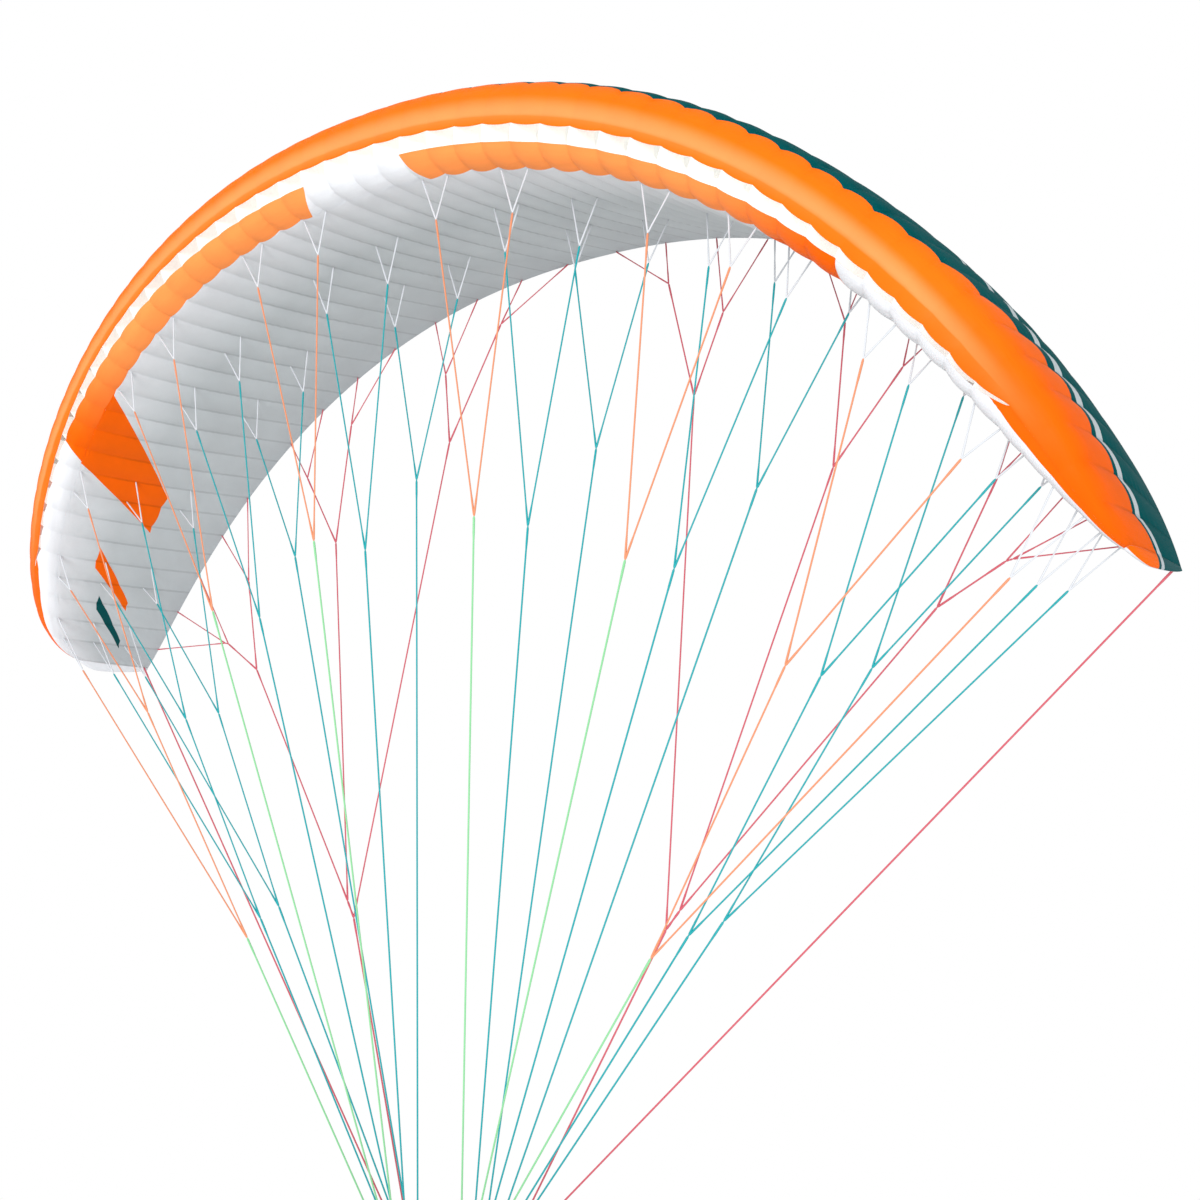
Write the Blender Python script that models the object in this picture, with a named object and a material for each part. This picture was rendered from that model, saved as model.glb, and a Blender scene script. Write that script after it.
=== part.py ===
# Ram-air paraglider wing, inflated: cloth canopy of 54 cells, ribs, cascaded
# suspension lines, quick links, risers and brake handles.
#
# Metres, +Z up.  X runs along the span, the nose faces -Y.  The origin is the
# hang point, midway between the two carabiner loops.

import math

import bmesh
import bpy
from mathutils import Vector

# Canopy plan and arc
HALF_SPAN = 5.20          # one half, laid flat
CELLS = 27                # cells in one half
CELL_TAPER = 0.086        # how much the cells narrow towards the tip
ARC_ANGLE = math.radians(68.6)   # slope of the canopy at its tip
ARC_POWER = 1.16
ROOT_CHORD = 2.23
TIP_CHORD = 0.78
TIP_SWEEP = 1.19          # how far the tip's nose lies behind the root's
SWEEP_EASE = 0.117
TIP_ROUND = 0.14          # how far the nose's corner is rounded back at the tip
ROUND_FROM = 0.938        # span share where that rounding starts
NOSE_Y = -1.045           # the root's nose, ahead of the hang point
NOSE_Z = 6.93             # and above it

# Section, in shares of the chord
NOSE_RISE = 0.0115
CREST_AT = 0.123
CREST_RISE = 0.131
BELLY_RISE = -0.081
NOSE_POWER = 3.0          # bluntness of the nose curve
TIP_PINCH = 0.35          # the section's thickness share at the very tip
PINCH_CELLS = 4

# Cloth
CLOTH = 0.0025            # thickness of a sheet
GAP = 0.0004              # clearance between sewn neighbours
BILLOW = 0.10             # crown of a cell, as a share of its width
NOSE_BILLOW = 0.022       # and over the stiff nose, where it starts to grow
BILLOW_FROM = 0.6
LIP_BASE = 0.014          # how far the upper lip hangs below the nose at a rib
LIP_DROP = 0.012          # and how much further it sags between two ribs
RIB_CLOTH = 0.002

# Panels.  Along a section a station runs 0 at the nose, 1 at the crest or
# belly, 2 at the trailing edge.
BREAK = {                 # rear edge of the nose panels, as shares of the chord
    "rib": (0, 16, 19, 22, 24, 25, 26, 27),
    "chord": (0.340, 0.340, 0.315, 0.262, 0.264, 0.325, 0.375, 0.465),
}
TIP_DOME = 0.070          # how far the tip cap bulges outward
LIP_STATION = 0.267       # lower lip of the air inlets
BAND_STATION = 0.862      # rear edge of the lower front panels
LAST_INLET = 23           # the cells outside this rib are closed
BAND_FROM = 2             # first and last rib of the coloured lower band
BAND_TO = 18
STRAP_STATION = 1.55      # where the spanwise strap ties the ribs together
STRAP_WIDTH = 0.025

# Lines
UPPER_LINE = 0.0066       # diameters
MIDDLE_LINE = 0.0074
MAIN_LINE = 0.0082
TIP_DROP = 0.45           # from the cloth down to the outermost V
LOW_SHIFT = Vector((-0.09, -0.02, 0.08))     # sideways pull on the lowest fork
LINK_SPREAD = 0.0088      # side by side on a quick link

# Risers
RISER_X = 0.25
LINK_Z = 0.50             # top bar of the quick links
WEBBING_WIDTH = 0.020
WEBBING = 0.003
LINK_ROD = 0.005
LINK_INSIDE = (0.034, 0.030)
LOOP_SLOT = (0.016, 0.044)    # the carabiner's slot: across and tall
FOOT_TOP = 0.105              # where the three straps part
RING_RADIUS = 0.0090
RING_ROD = 0.0040
TAB_WIDTH = 0.005
TAB_FOOT_Y = 0.0610           # just clear of the rear strap

TEAL = (0.012, 0.120, 0.130)
ORANGE = (0.900, 0.210, 0.020)
WHITE = (0.860, 0.870, 0.880)
GREY = (0.560, 0.590, 0.610)
GREEN = (0.300, 0.750, 0.330)
LINE_TEAL = (0.045, 0.340, 0.420)
RED = (0.720, 0.130, 0.180)
BLACK = (0.030, 0.030, 0.035)
STEEL = (0.600, 0.610, 0.620)

# Rows of suspension lines: share of the chord where the row is sewn, drop from
# the cloth to the short V, place of its quick link along Y, the height shares
# of its forks and how far these lean outward
ROWS = {
    "a": {"chord": 0.090, "drop": 0.240, "link_y": -0.070, "fork": 0.720, "outer": 0.740,
          "low": 0.510, "lean": 0.030, "color": GREEN},
    "b": {"chord": 0.360, "drop": 0.280, "link_y": 0.000, "fork": 0.725, "outer": 0.740,
          "low": 0.545, "lean": 0.042, "color": LINE_TEAL},
    "c": {"chord": 0.655, "drop": 0.270, "link_y": 0.070, "fork": 0.808, "outer": 0.750,
          "low": 0.560, "lean": 0.070, "color": LINE_TEAL},
}

# Pairs of ribs held by each short V, from the root out
FORK_RIBS = [(2, 3), (5, 6), (10, 11), (13, 14), (18, 19), (22, 23), (25, 26)]

# Brake fan: height share of each junction above the quick link, its place
# along X and Y, and the ribs it holds at the trailing edge
BRAKE_MAIN = Vector((1.28, 0.42, 2.52))
BRAKE_FANS = [
    {"at": Vector((1.05, 0.92, 5.75)), "twigs": [
        {"at": Vector((0.73, 1.06, 6.57)), "ribs": (1, 3)},
        {"at": Vector((1.20, 1.01, 6.28)), "ribs": (5, 7)}]},
    {"at": Vector((2.10, 0.86, 5.15)), "twigs": [
        {"at": Vector((2.11, 0.97, 6.04)), "ribs": (9, 11)},
        {"at": Vector((2.52, 0.93, 5.69)), "ribs": (13, 15)}]},
    {"at": Vector((2.81, 0.78, 4.27)), "twigs": [
        {"at": Vector((3.11, 0.91, 4.97)), "ribs": (18, 20)},
        {"at": Vector((3.20, 0.82, 4.49)), "ribs": (22, 24, 26)}]},
]
BRAKE_RING = Vector((RISER_X, 0.094, 0.40))
HANDLE_TOP = Vector((RISER_X, 0.096, 0.30))


# ---------------------------------------------------------------- materials

def cloth_material(name, color, roughness=0.55, metallic=0.0):
    material = bpy.data.materials.new(name)
    material.use_nodes = True
    shader = material.node_tree.nodes["Principled BSDF"]
    shader.inputs["Base Color"].default_value = (*color, 1.0)
    shader.inputs["Roughness"].default_value = roughness
    shader.inputs["Metallic"].default_value = metallic
    material.diffuse_color = (*color, 1.0)
    return material


def add_object(name, mesh_builder, material, smooth_angle=30):
    bmesh.ops.recalc_face_normals(mesh_builder, faces=mesh_builder.faces)
    mesh = bpy.data.meshes.new(name)
    mesh_builder.to_mesh(mesh)
    mesh_builder.free()
    mesh.materials.append(material)
    mesh.shade_smooth()
    mesh.set_sharp_from_angle(angle=math.radians(smooth_angle))
    thing = bpy.data.objects.new(name, mesh)
    bpy.context.scene.collection.objects.link(thing)
    return thing


# ------------------------------------------------------------ canopy's form

def arc_table(steps=540):
    """Running X and Z of the canopy's arc at equal shares of the half span."""
    rows = [(0.0, 0.0)]
    x = z = 0.0
    for i in range(steps):
        slope = ARC_ANGLE * ((i + 0.5) / steps) ** ARC_POWER
        x += math.cos(slope) * HALF_SPAN / steps
        z -= math.sin(slope) * HALF_SPAN / steps
        rows.append((x, z))
    return rows


ARC = arc_table()


def span_share(rib):
    share = rib / CELLS
    return share * (1 - CELL_TAPER * share ** 2) / (1 - CELL_TAPER)


def arc_point(share):
    place = min(share, 1.0) * (len(ARC) - 1)
    i = min(int(place), len(ARC) - 2)
    part = place - i
    return [a + (b - a) * part for a, b in zip(ARC[i], ARC[i + 1])]


def plan(share):
    """Chord and sweep from a near-elliptical plan with a rounded front corner."""
    blunt = 0.985
    least = math.sqrt(1 - blunt ** 2)
    ellipse = (math.sqrt(1 - (blunt * share) ** 2) - least) / (1 - least)
    chord = TIP_CHORD + (ROOT_CHORD - TIP_CHORD) * ellipse
    sweep = TIP_SWEEP * (1 - ellipse) - SWEEP_EASE * share ** 2
    turn = min(max((share - ROUND_FROM) / (1 - ROUND_FROM), 0.0), 1.0)
    corner = TIP_ROUND * (1 - math.sqrt(1 - turn ** 2))
    return chord - corner, sweep + corner


def pinch(rib):
    """Thickness share of the section: full, then drawn in at the tip."""
    inward = min(1.0, (CELLS - rib) / PINCH_CELLS)
    return TIP_PINCH + (1 - TIP_PINCH) * math.sin(inward * math.pi / 2)


def section(station, upper):
    """Chord share and rise share of a point of the section's outline."""
    top = CREST_RISE if upper else BELLY_RISE
    if station < 0:
        return 0.0, NOSE_RISE + station * (1 if upper else -1)
    if station <= 1:
        angle = station * math.pi / 2
        along = CREST_AT * (1 - math.cos(angle) ** (2 / NOSE_POWER)) if station < 1 else CREST_AT
        return along, NOSE_RISE + (top - NOSE_RISE) * math.sin(angle) ** (2 / NOSE_POWER)
    back = station - 1
    return CREST_AT + back * (1 - CREST_AT), top * (1 - 1.5 * back ** 2 + 0.5 * back ** 3)


def chord_station(chord_share):
    """Station behind the crest that lies at this share of the chord."""
    return 1 + (chord_share - CREST_AT) / (1 - CREST_AT)


def outward(station, upper, thickness):
    """Unit normal of the outline, pointing out, as (along chord, rise)."""
    step = 0.01
    a = section(max(station - step, 0.0), upper)
    b = section(min(max(station, 0.0) + step, 2.0), upper)
    along, rise = b[0] - a[0], (b[1] - a[1]) * thickness
    size = math.hypot(along, rise)
    sign = 1 if upper else -1
    return -sign * rise / size, sign * along / size


def crown(rib, station, upper):
    """Height of the billow at this place: nothing at a rib, most midway."""
    part = rib - math.floor(rib)
    width = HALF_SPAN * (span_share(math.floor(rib) + 1) - span_share(math.floor(rib)))
    grown = min(max((station - BILLOW_FROM) / 0.6, 0.0), 1.0)
    share = NOSE_BILLOW + (BILLOW - NOSE_BILLOW) * grown * grown * (3 - 2 * grown)
    if not upper:
        share += (BILLOW - share) * inlet_opening(rib)
    return 4 * part * (1 - part) * share * width


def surface(rib, station, upper, offset=0.0):
    """A point of the canopy: offset is measured out from the section."""
    share = span_share(rib)
    x, z = arc_point(share)
    chord, sweep = plan(share)
    slope = ARC_ANGLE * share ** ARC_POWER
    thickness = pinch(rib)
    along, rise = section(station, upper)
    out_along, out_rise = outward(station, upper, thickness)
    tail = min(1.0, (2 - station) / 0.5)
    out = offset + crown(rib, station, upper) * tail
    back = chord * along + out * out_along
    up = chord * rise * thickness + out * out_rise
    return Vector((x + up * math.sin(slope), NOSE_Y + sweep + back,
                   NOSE_Z + z + up * math.cos(slope)))


def spanwise(rib):
    slope = ARC_ANGLE * span_share(rib) ** ARC_POWER
    return Vector((math.cos(slope), 0, -math.sin(slope)))


def seam(rib, metres):
    """A short length along the cloth as a change of station."""
    return metres / (plan(span_share(rib))[0] * (1 - CREST_AT))


def color_break(rib):
    """Station where the nose panels of the upper cloth end."""
    ribs, chords = BREAK["rib"], BREAK["chord"]
    i = max(n for n in range(len(ribs) - 1) if ribs[n] <= rib)
    part = (rib - ribs[i]) / (ribs[i + 1] - ribs[i])
    return chord_station(chords[i] + (chords[i + 1] - chords[i]) * part)


def inlet_opening(rib):
    """1 where the cells have air inlets, 0 where the nose is sewn shut."""
    return min(max(LAST_INLET - rib, 0.0), 1.0)


def nose_stations(rib):
    last = color_break(rib)
    part = rib - math.floor(rib)
    sag = inlet_opening(rib) * (LIP_BASE + LIP_DROP * 4 * part * (1 - part))
    lip = -sag / plan(span_share(rib))[0]
    return [lip, 0.02, 0.25, 0.5, 0.75, 1.02, last - seam(rib, GAP / 2)]


def rear_stations(rib):
    first = color_break(rib)
    return [first + seam(rib, GAP / 2)] + [first + (2 - first) * i / 4 for i in (1, 2, 3, 4)]


def lip_stations(rib):
    depth = (NOSE_RISE - BELLY_RISE) * plan(span_share(rib))[0] * pinch(rib)
    closed = math.asin((2 * GAP / depth) ** (NOSE_POWER / 2)) / (math.pi / 2)
    first = closed + (LIP_STATION - closed) * inlet_opening(rib)
    return [first, (first + 0.5) / 2, 0.5, BAND_STATION - seam(rib, GAP / 2)]


def belly_stations(rib):
    return [BAND_STATION + seam(rib, GAP / 2), 1.15, 1.45, 1.72, 2.0]


# --------------------------------------------------------------- cloth parts

def half_cells(first, last):
    count = round((last - first) * 2)
    return [first + (last - first) * i / count for i in range(count + 1)]


def cloth_sheet(name, ribs, stations, upper, side, material):
    """One closed sheet between two ribs, with its cells' billow."""
    mesh = bmesh.new()
    layers = []
    for offset in (GAP, GAP + CLOTH):
        grid = []
        for rib in ribs:
            column = []
            for station in stations(abs(rib)):
                point = surface(abs(rib), station, upper, offset)
                flip = side if rib >= 0 else -side
                column.append(mesh.verts.new((point.x * flip, point.y, point.z)))
            grid.append(column)
        layers.append(grid)
    inner, outer = layers
    for grid in layers:
        for i in range(len(ribs) - 1):
            for j in range(len(grid[0]) - 1):
                mesh.faces.new((grid[i][j], grid[i + 1][j], grid[i + 1][j + 1], grid[i][j + 1]))
    for i in range(len(ribs) - 1):
        for j in (0, -1):
            mesh.faces.new((inner[i][j], inner[i + 1][j], outer[i + 1][j], outer[i][j]))
    for i in (0, -1):
        for j in range(len(inner[0]) - 1):
            mesh.faces.new((inner[i][j], inner[i][j + 1], outer[i][j + 1], outer[i][j]))
    return add_object(name, mesh, material, smooth_angle=40)


def rib_outline(rib, inset):
    """The rib's edge: over the top from nose to tail, back along the belly."""
    top = nose_stations(rib)[:-1] + [color_break(rib)] + rear_stations(rib)[1:-1]
    top[0] = 0.0
    low = [0.12] * (rib < LAST_INLET) + lip_stations(rib)[:3] + [BAND_STATION, 1.15, 1.45, 1.72]
    outline = [surface(rib, station, True, -inset) for station in top]
    outline += [surface(rib, station, False, -inset) for station in reversed(low)]
    return outline


def plate(mesh, outline, direction, thickness, flip):
    """A flat plate on an outline, half its thickness to either side."""
    rings = []
    for shift in (-thickness / 2, thickness / 2):
        ring = []
        for point in outline:
            spot = point + direction * shift
            ring.append(mesh.verts.new((spot.x * flip, spot.y, spot.z)))
        rings.append(ring)
        mesh.faces.new(ring)
    count = len(outline)
    for i in range(count):
        j = (i + 1) % count
        mesh.faces.new((rings[0][i], rings[0][j], rings[1][j], rings[1][i]))


def rib_set(name, first, side, material):
    """All ribs of one half, tied by one spanwise strap."""
    mesh = bmesh.new()
    for rib in range(first, CELLS):
        inset = RIB_CLOTH * span_share(rib) ** 8
        plate(mesh, rib_outline(rib, inset), spanwise(rib), RIB_CLOTH, side)
    bmesh.ops.triangulate(mesh, faces=mesh.faces)
    ribs = add_object(name, mesh, material)
    strap = bmesh.new()
    rings = []
    for rib in range(first, CELLS):
        high = surface(rib, STRAP_STATION, True)
        low = surface(rib, STRAP_STATION, False)
        centre = (high + low) / 2
        up = (high - low).normalized()
        ends = 0.004 * (-1 if rib == first else 1 if rib == CELLS - 1 else 0)
        centre = centre + spanwise(rib) * ends
        ring = []
        for along, rise in ((-1, -1), (1, -1), (1, 1), (-1, 1)):
            spot = centre + Vector((0, along * STRAP_WIDTH / 2, 0)) + up * (rise * RIB_CLOTH / 2)
            ring.append(strap.verts.new((spot.x * side, spot.y, spot.z)))
        rings.append(ring)
    for a, b in zip(rings, rings[1:]):
        for i in range(4):
            j = (i + 1) % 4
            strap.faces.new((a[i], a[j], b[j], b[i]))
    strap.faces.new(rings[0])
    strap.faces.new(rings[-1])
    cutter = add_object(name + "_strap", strap, material)
    join(ribs, cutter)
    return ribs


def join(thing, other):
    """Union of two solids; the second one is used up."""
    union = thing.modifiers.new("union", 'BOOLEAN')
    union.operation = 'UNION'
    union.solver = 'EXACT'
    union.object = other
    graph = bpy.context.evaluated_depsgraph_get()
    joined = bpy.data.meshes.new_from_object(thing.evaluated_get(graph))
    thing.modifiers.clear()
    old = thing.data
    thing.data = joined
    joined.name = thing.name
    bpy.data.meshes.remove(old)
    bpy.data.objects.remove(other)


def tip_cap(name, side, material):
    """The rounded end of the canopy, from the upper edge round to the lower."""
    mesh = bmesh.new()
    stations = (0.0, 0.25, 0.5, 0.8, 1.0, 1.2, 1.4, 1.7, 2.0)
    turns = 6
    away = spanwise(CELLS)
    deepest = (surface(CELLS, 1.0, True) - surface(CELLS, 1.0, False)).length
    layers = []
    for depth in (0.0, CLOTH):
        grid = []
        for station in stations:
            top = surface(CELLS, station, True, GAP + depth)
            low = surface(CELLS, max(station, lip_stations(CELLS)[0]), False, GAP + depth)
            middle, half = (top + low) / 2, (top - low) / 2
            bulge = TIP_DOME * math.sqrt(min(2 * half.length / deepest, 1.0)) + depth
            column = []
            for i in range(turns + 1):
                angle = i / turns * math.pi
                out = 1.5 * GAP + bulge * math.sin(angle)
                point = middle + half * math.cos(angle) + away * out
                column.append(mesh.verts.new((point.x * side, point.y, point.z)))
            grid.append(column)
        layers.append(grid)
    inner, outer = layers
    for grid in layers:
        for a, b in zip(grid, grid[1:]):
            for j in range(turns):
                mesh.faces.new((a[j], b[j], b[j + 1], a[j + 1]))
    for i in range(len(stations) - 1):
        for j in (0, -1):
            mesh.faces.new((inner[i][j], inner[i + 1][j], outer[i + 1][j], outer[i][j]))
    for i in (0, -1):
        for j in range(turns):
            mesh.faces.new((inner[i][j], inner[i][j + 1], outer[i][j + 1], outer[i][j]))
    return add_object(name, mesh, material, smooth_angle=60)


# --------------------------------------------------------------------- lines

def bridge(mesh, ring_a, ring_b):
    """Triangles between two rings, paired by their angle about the strand."""
    centre_a = sum((v.co for v in ring_a), Vector()) / len(ring_a)
    centre_b = sum((v.co for v in ring_b), Vector()) / len(ring_b)
    axis = (centre_b - centre_a).normalized()
    side = axis.orthogonal().normalized()
    other = axis.cross(side)

    def turn(vert, centre):
        arm = vert.co - centre
        return math.atan2(arm.dot(other), arm.dot(side)) % math.tau

    a = sorted(ring_a, key=lambda v: turn(v, centre_a))
    b = sorted(ring_b, key=lambda v: turn(v, centre_b))

    def apart(i, j):
        return abs(math.remainder(turn(a[i], centre_a) - turn(b[j], centre_b), math.tau))

    start = min(((i, j) for i in range(len(a)) for j in range(len(b))), key=lambda p: apart(*p))
    a = a[start[0]:] + a[:start[0]]
    b = b[start[1]:] + b[:start[1]]
    base = turn(a[0], centre_a)
    turns_a = [math.remainder(turn(v, centre_a) - base, math.tau) % math.tau for v in a] + [math.tau]
    turns_b = [(turn(v, centre_b) - base) % math.tau for v in b] + [math.tau]
    if turns_b[0] > math.pi:
        turns_b[0] -= math.tau
    i = j = 0
    while i < len(a) or j < len(b):
        go_a = j >= len(b) or (i < len(a) and turns_a[i + 1] <= turns_b[j + 1])
        if go_a:
            mesh.faces.new((a[i], a[(i + 1) % len(a)], b[j % len(b)]))
            i += 1
        else:
            mesh.faces.new((a[i % len(a)], b[(j + 1) % len(b)], b[j]))
            j += 1


def diamond(mesh, centre, first, second, radius):
    return [mesh.verts.new(centre + arm * radius)
            for arm in (first, second, -first, -second)]


def cross_axes(direction, hint=None):
    first = (hint - direction * hint.dot(direction)).normalized() if hint else None
    if first is None:
        first = direction.orthogonal().normalized()
    return first, direction.cross(first)


def grow(mesh, ring, start, branch):
    """Builds a strand from a ring to a branch's place, and what splits there."""
    place = branch["at"]
    radius = branch["diameter"] / 2
    twigs = branch.get("to", [])
    if not twigs:
        first, second = branch["axes"]
        end = diamond(mesh, place, first, second, radius)
        bridge(mesh, ring, end)
        mesh.faces.new(end)
        return
    direction = (place - start).normalized()
    if len(twigs) == 1:
        first, second = cross_axes(direction)
        end = diamond(mesh, place, first, second, radius)
        bridge(mesh, ring, end)
        grow(mesh, end, place, twigs[0])
        return
    left, right = ((twig["at"] - place).normalized() for twig in twigs)
    pole = left.cross(right).normalized()
    first, second = cross_axes(direction, pole)
    end = diamond(mesh, place, first, second, radius)
    bridge(mesh, ring, end)
    near = 0 if left.dot(second) > right.dot(second) else 1
    grow(mesh, [end[0], end[1], end[2]], place, twigs[near])
    grow(mesh, [end[2], end[3], end[0]], place, twigs[1 - near])


def line_tree(name, root, tree, side, material):
    """One main line with all that forks from it, as a single solid."""
    mesh = bmesh.new()
    radius = tree["diameter"] / 2
    ring = diamond(mesh, root, Vector((1, 0, 0)), Vector((0, 1, 0)), radius)
    mesh.faces.new(ring)
    grow(mesh, ring, root, tree)
    if side < 0:
        for vert in mesh.verts:
            vert.co.x = -vert.co.x
    return add_object(name, mesh, material, smooth_angle=180)


def sewn_end(rib, station, room=0.0012):
    """The top of a line, square to the cloth and just clear of it."""
    out = GAP + CLOTH + room
    at = surface(rib, station, False, out)
    chordwise = (surface(rib, station + 0.01, False) - surface(rib, station - 0.01, False))
    return {"at": at, "diameter": UPPER_LINE, "axes": (spanwise(rib), chordwise.normalized())}


def row_station(chord_share):
    if chord_share > CREST_AT:
        return chord_station(chord_share)
    cosine = (1 - chord_share / CREST_AT) ** (NOSE_POWER / 2)
    return math.acos(cosine) / (math.pi / 2)


def short_fork(row, ribs, link):
    """The V of two short lines under a pair of ribs."""
    drop = TIP_DROP if ribs == FORK_RIBS[-1] else ROWS[row]["drop"]
    station = row_station(ROWS[row]["chord"])
    tops = [sewn_end(rib, station) for rib in ribs]
    middle = (tops[0]["at"] + tops[1]["at"]) / 2
    place = middle + (link - middle).normalized() * drop
    return {"at": place, "diameter": UPPER_LINE, "to": tops}


def fork(link, share, twigs, diameter, shift):
    middle = sum((twig["at"] for twig in twigs), Vector()) / len(twigs)
    return {"at": link.lerp(middle, share) + shift, "diameter": diameter, "to": twigs}


def row_trees(row):
    """The three main lines of one row, from the root out."""
    size = ROWS[row]
    link = Vector((RISER_X, size["link_y"], LINK_Z))
    forks = [short_fork(row, ribs, link) for ribs in FORK_RIBS]
    lean = Vector((size["lean"], 0, 0))
    inner = fork(link, size["fork"], forks[0:2], MIDDLE_LINE, lean)
    middle = fork(link, size["fork"], forks[2:4], MIDDLE_LINE, lean)
    outer = fork(link, size["outer"], forks[4:6], MIDDLE_LINE, lean)
    last = fork(link, size["low"], [outer, forks[6]], MAIN_LINE, LOW_SHIFT)
    return link, [inner, middle, last]


def brake_tree():
    fans = []
    for fan in BRAKE_FANS:
        twigs = []
        for twig in fan["twigs"]:
            tops = [sewn_end(rib, 1.985) for rib in twig["ribs"]]
            if len(tops) > 2:
                middle = (tops[1]["at"] + tops[2]["at"]) / 2
                place = twig["at"] + (middle - twig["at"]).normalized() * 0.04
                tops = [tops[0], {"at": place, "diameter": UPPER_LINE, "to": tops[1:]}]
            twigs.append({"at": twig["at"], "diameter": UPPER_LINE, "to": tops})
        fans.append({"at": fan["at"], "diameter": MIDDLE_LINE, "to": twigs})
    upward = (BRAKE_MAIN - BRAKE_RING).normalized()
    outer = {"at": BRAKE_MAIN + upward * 0.12 + Vector((0.03, 0, 0)), "diameter": MAIN_LINE,
             "to": fans[1:]}
    main = {"at": BRAKE_MAIN, "diameter": MAIN_LINE, "to": [fans[0], outer]}
    return {"at": BRAKE_RING, "diameter": MAIN_LINE, "to": [main]}


# -------------------------------------------------------------------- risers

def rod_ring(name, centre, path, rod, sides, material, side):
    """A closed ring of round rod along a path of (first, second) offsets."""
    mesh = bmesh.new()
    count = len(path)
    rings = []
    for i, (point, first, second) in enumerate(path):
        ring = []
        for j in range(sides):
            angle = (j + 0.5) * math.tau / sides
            spot = centre + point + (first * math.cos(angle) + second * math.sin(angle)) * rod / 2
            ring.append(mesh.verts.new((spot.x * side, spot.y, spot.z)))
        rings.append(ring)
    for i in range(count):
        a, b = rings[i], rings[(i + 1) % count]
        for j in range(sides):
            k = (j + 1) % sides
            mesh.faces.new((a[j], a[k], b[k], b[j]))
    return add_object(name, mesh, material, smooth_angle=60)


def stadium(width, height, corner, steps):
    """Rounded rectangle in X and Z: place and outward direction of each point."""
    points = []
    for quarter, (sx, sz) in enumerate(((1, 1), (-1, 1), (-1, -1), (1, -1))):
        middle = Vector((sx * (width / 2 - corner), 0, sz * (height / 2 - corner)))
        for i in range(steps + 1):
            angle = (quarter + i / steps) * math.pi / 2
            out = Vector((math.cos(angle), 0, math.sin(angle)))
            points.append((middle + out * corner, out))
    return points


def quick_link(name, row, side, material):
    """Steel ring: its top bar carries the lines, the lower bar the webbing."""
    width = LINK_INSIDE[0] + LINK_ROD
    height = LINK_INSIDE[1] + LINK_ROD
    top = LINK_Z - GAP - LINK_ROD / 2
    centre = Vector((RISER_X, ROWS[row]["link_y"], top - height / 2))
    across = Vector((0, 1, 0))
    path = [(point, out, across) for point, out in stadium(width, height, 0.008, 3)]
    return rod_ring(name, centre, path, LINK_ROD, 8, material, side)


def close_band(mesh, rings):
    """Faces of a closed band from its inner and outer rings on both edges."""
    inner_a, outer_a, inner_b, outer_b = rings
    count = len(inner_a)
    for i in range(count):
        j = (i + 1) % count
        mesh.faces.new((inner_a[i], inner_a[j], outer_a[j], outer_a[i]))
        mesh.faces.new((inner_b[i], outer_b[i], outer_b[j], inner_b[j]))
        mesh.faces.new((inner_a[i], inner_b[i], inner_b[j], inner_a[j]))
        mesh.faces.new((outer_a[i], outer_a[j], outer_b[j], outer_b[i]))


def eyed_strap(name, foot, eye_centre, eye, width, side, material):
    """Webbing from a foot to a sewn eye.  Both places are in the plane X = 0."""
    head = eye + WEBBING
    along = (foot - eye_centre).normalized()
    across = Vector((0, -along.z, along.y))
    inner, outer = [], []
    steps = 10
    for i in range(steps):
        angle = math.radians(30) + i / (steps - 1) * math.radians(300)
        spin = along * math.cos(angle) + across * math.sin(angle)
        inner.append(eye_centre + spin * eye)
        outer.append(eye_centre + spin * head)
    half = WEBBING / 2
    length = (foot - eye_centre).length
    neck = head * 1.28
    outline = [(p.y, p.z) for p in outer]
    outline += [(p.y, p.z) for p in (eye_centre + along * neck - across * half,
                                     eye_centre + along * length - across * half,
                                     eye_centre + along * length + across * half,
                                     eye_centre + along * neck + across * half)]
    mesh = bmesh.new()
    sides = []
    for shift in (-width / 2, width / 2):
        x = (RISER_X + shift) * side
        around = [mesh.verts.new((x, y, z)) for y, z in outline]
        hole = [mesh.verts.new((x, p.y, p.z)) for p in inner]
        for i in range(steps - 1):
            mesh.faces.new((around[i], around[i + 1], hole[i + 1], hole[i]))
        mesh.faces.new([hole[0], hole[-1], around[steps - 1], around[steps],
                        around[steps + 3], around[0]])
        mesh.faces.new(around[steps:steps + 4])
        sides.append((around, hole))
    for loop_a, loop_b in zip(sides[0], sides[1]):
        count = len(loop_a)
        for i in range(count):
            j = (i + 1) % count
            mesh.faces.new((loop_a[i], loop_a[j], loop_b[j], loop_b[i]))
    return add_object(name, mesh, material)


def riser_strap(name, row, side, material):
    """Webbing from the sewn foot up to a loop round the quick link."""
    link_y = ROWS[row]["link_y"]
    bar_z = LINK_Z - GAP - LINK_ROD - LINK_INSIDE[1] - LINK_ROD / 2
    foot = Vector((0, link_y / 70 * 4.6, FOOT_TOP + GAP))
    eye_centre = Vector((0, link_y, bar_z - 0.0004))
    return eyed_strap(name, foot, eye_centre, LINK_ROD / 2 + 0.0014, WEBBING_WIDTH, side,
                      material)


def ring_tab(name, side, material):
    """Short strap that holds the brake ring behind the rear riser."""
    rod = BRAKE_RING - Vector((0, RING_RADIUS, 0))
    eye_centre = Vector((0, rod.y - 0.0003, rod.z))
    return eyed_strap(name, Vector((0, TAB_FOOT_Y, rod.z)), eye_centre, RING_ROD / 2 + 0.0012,
                      TAB_WIDTH, side, material)


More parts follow.
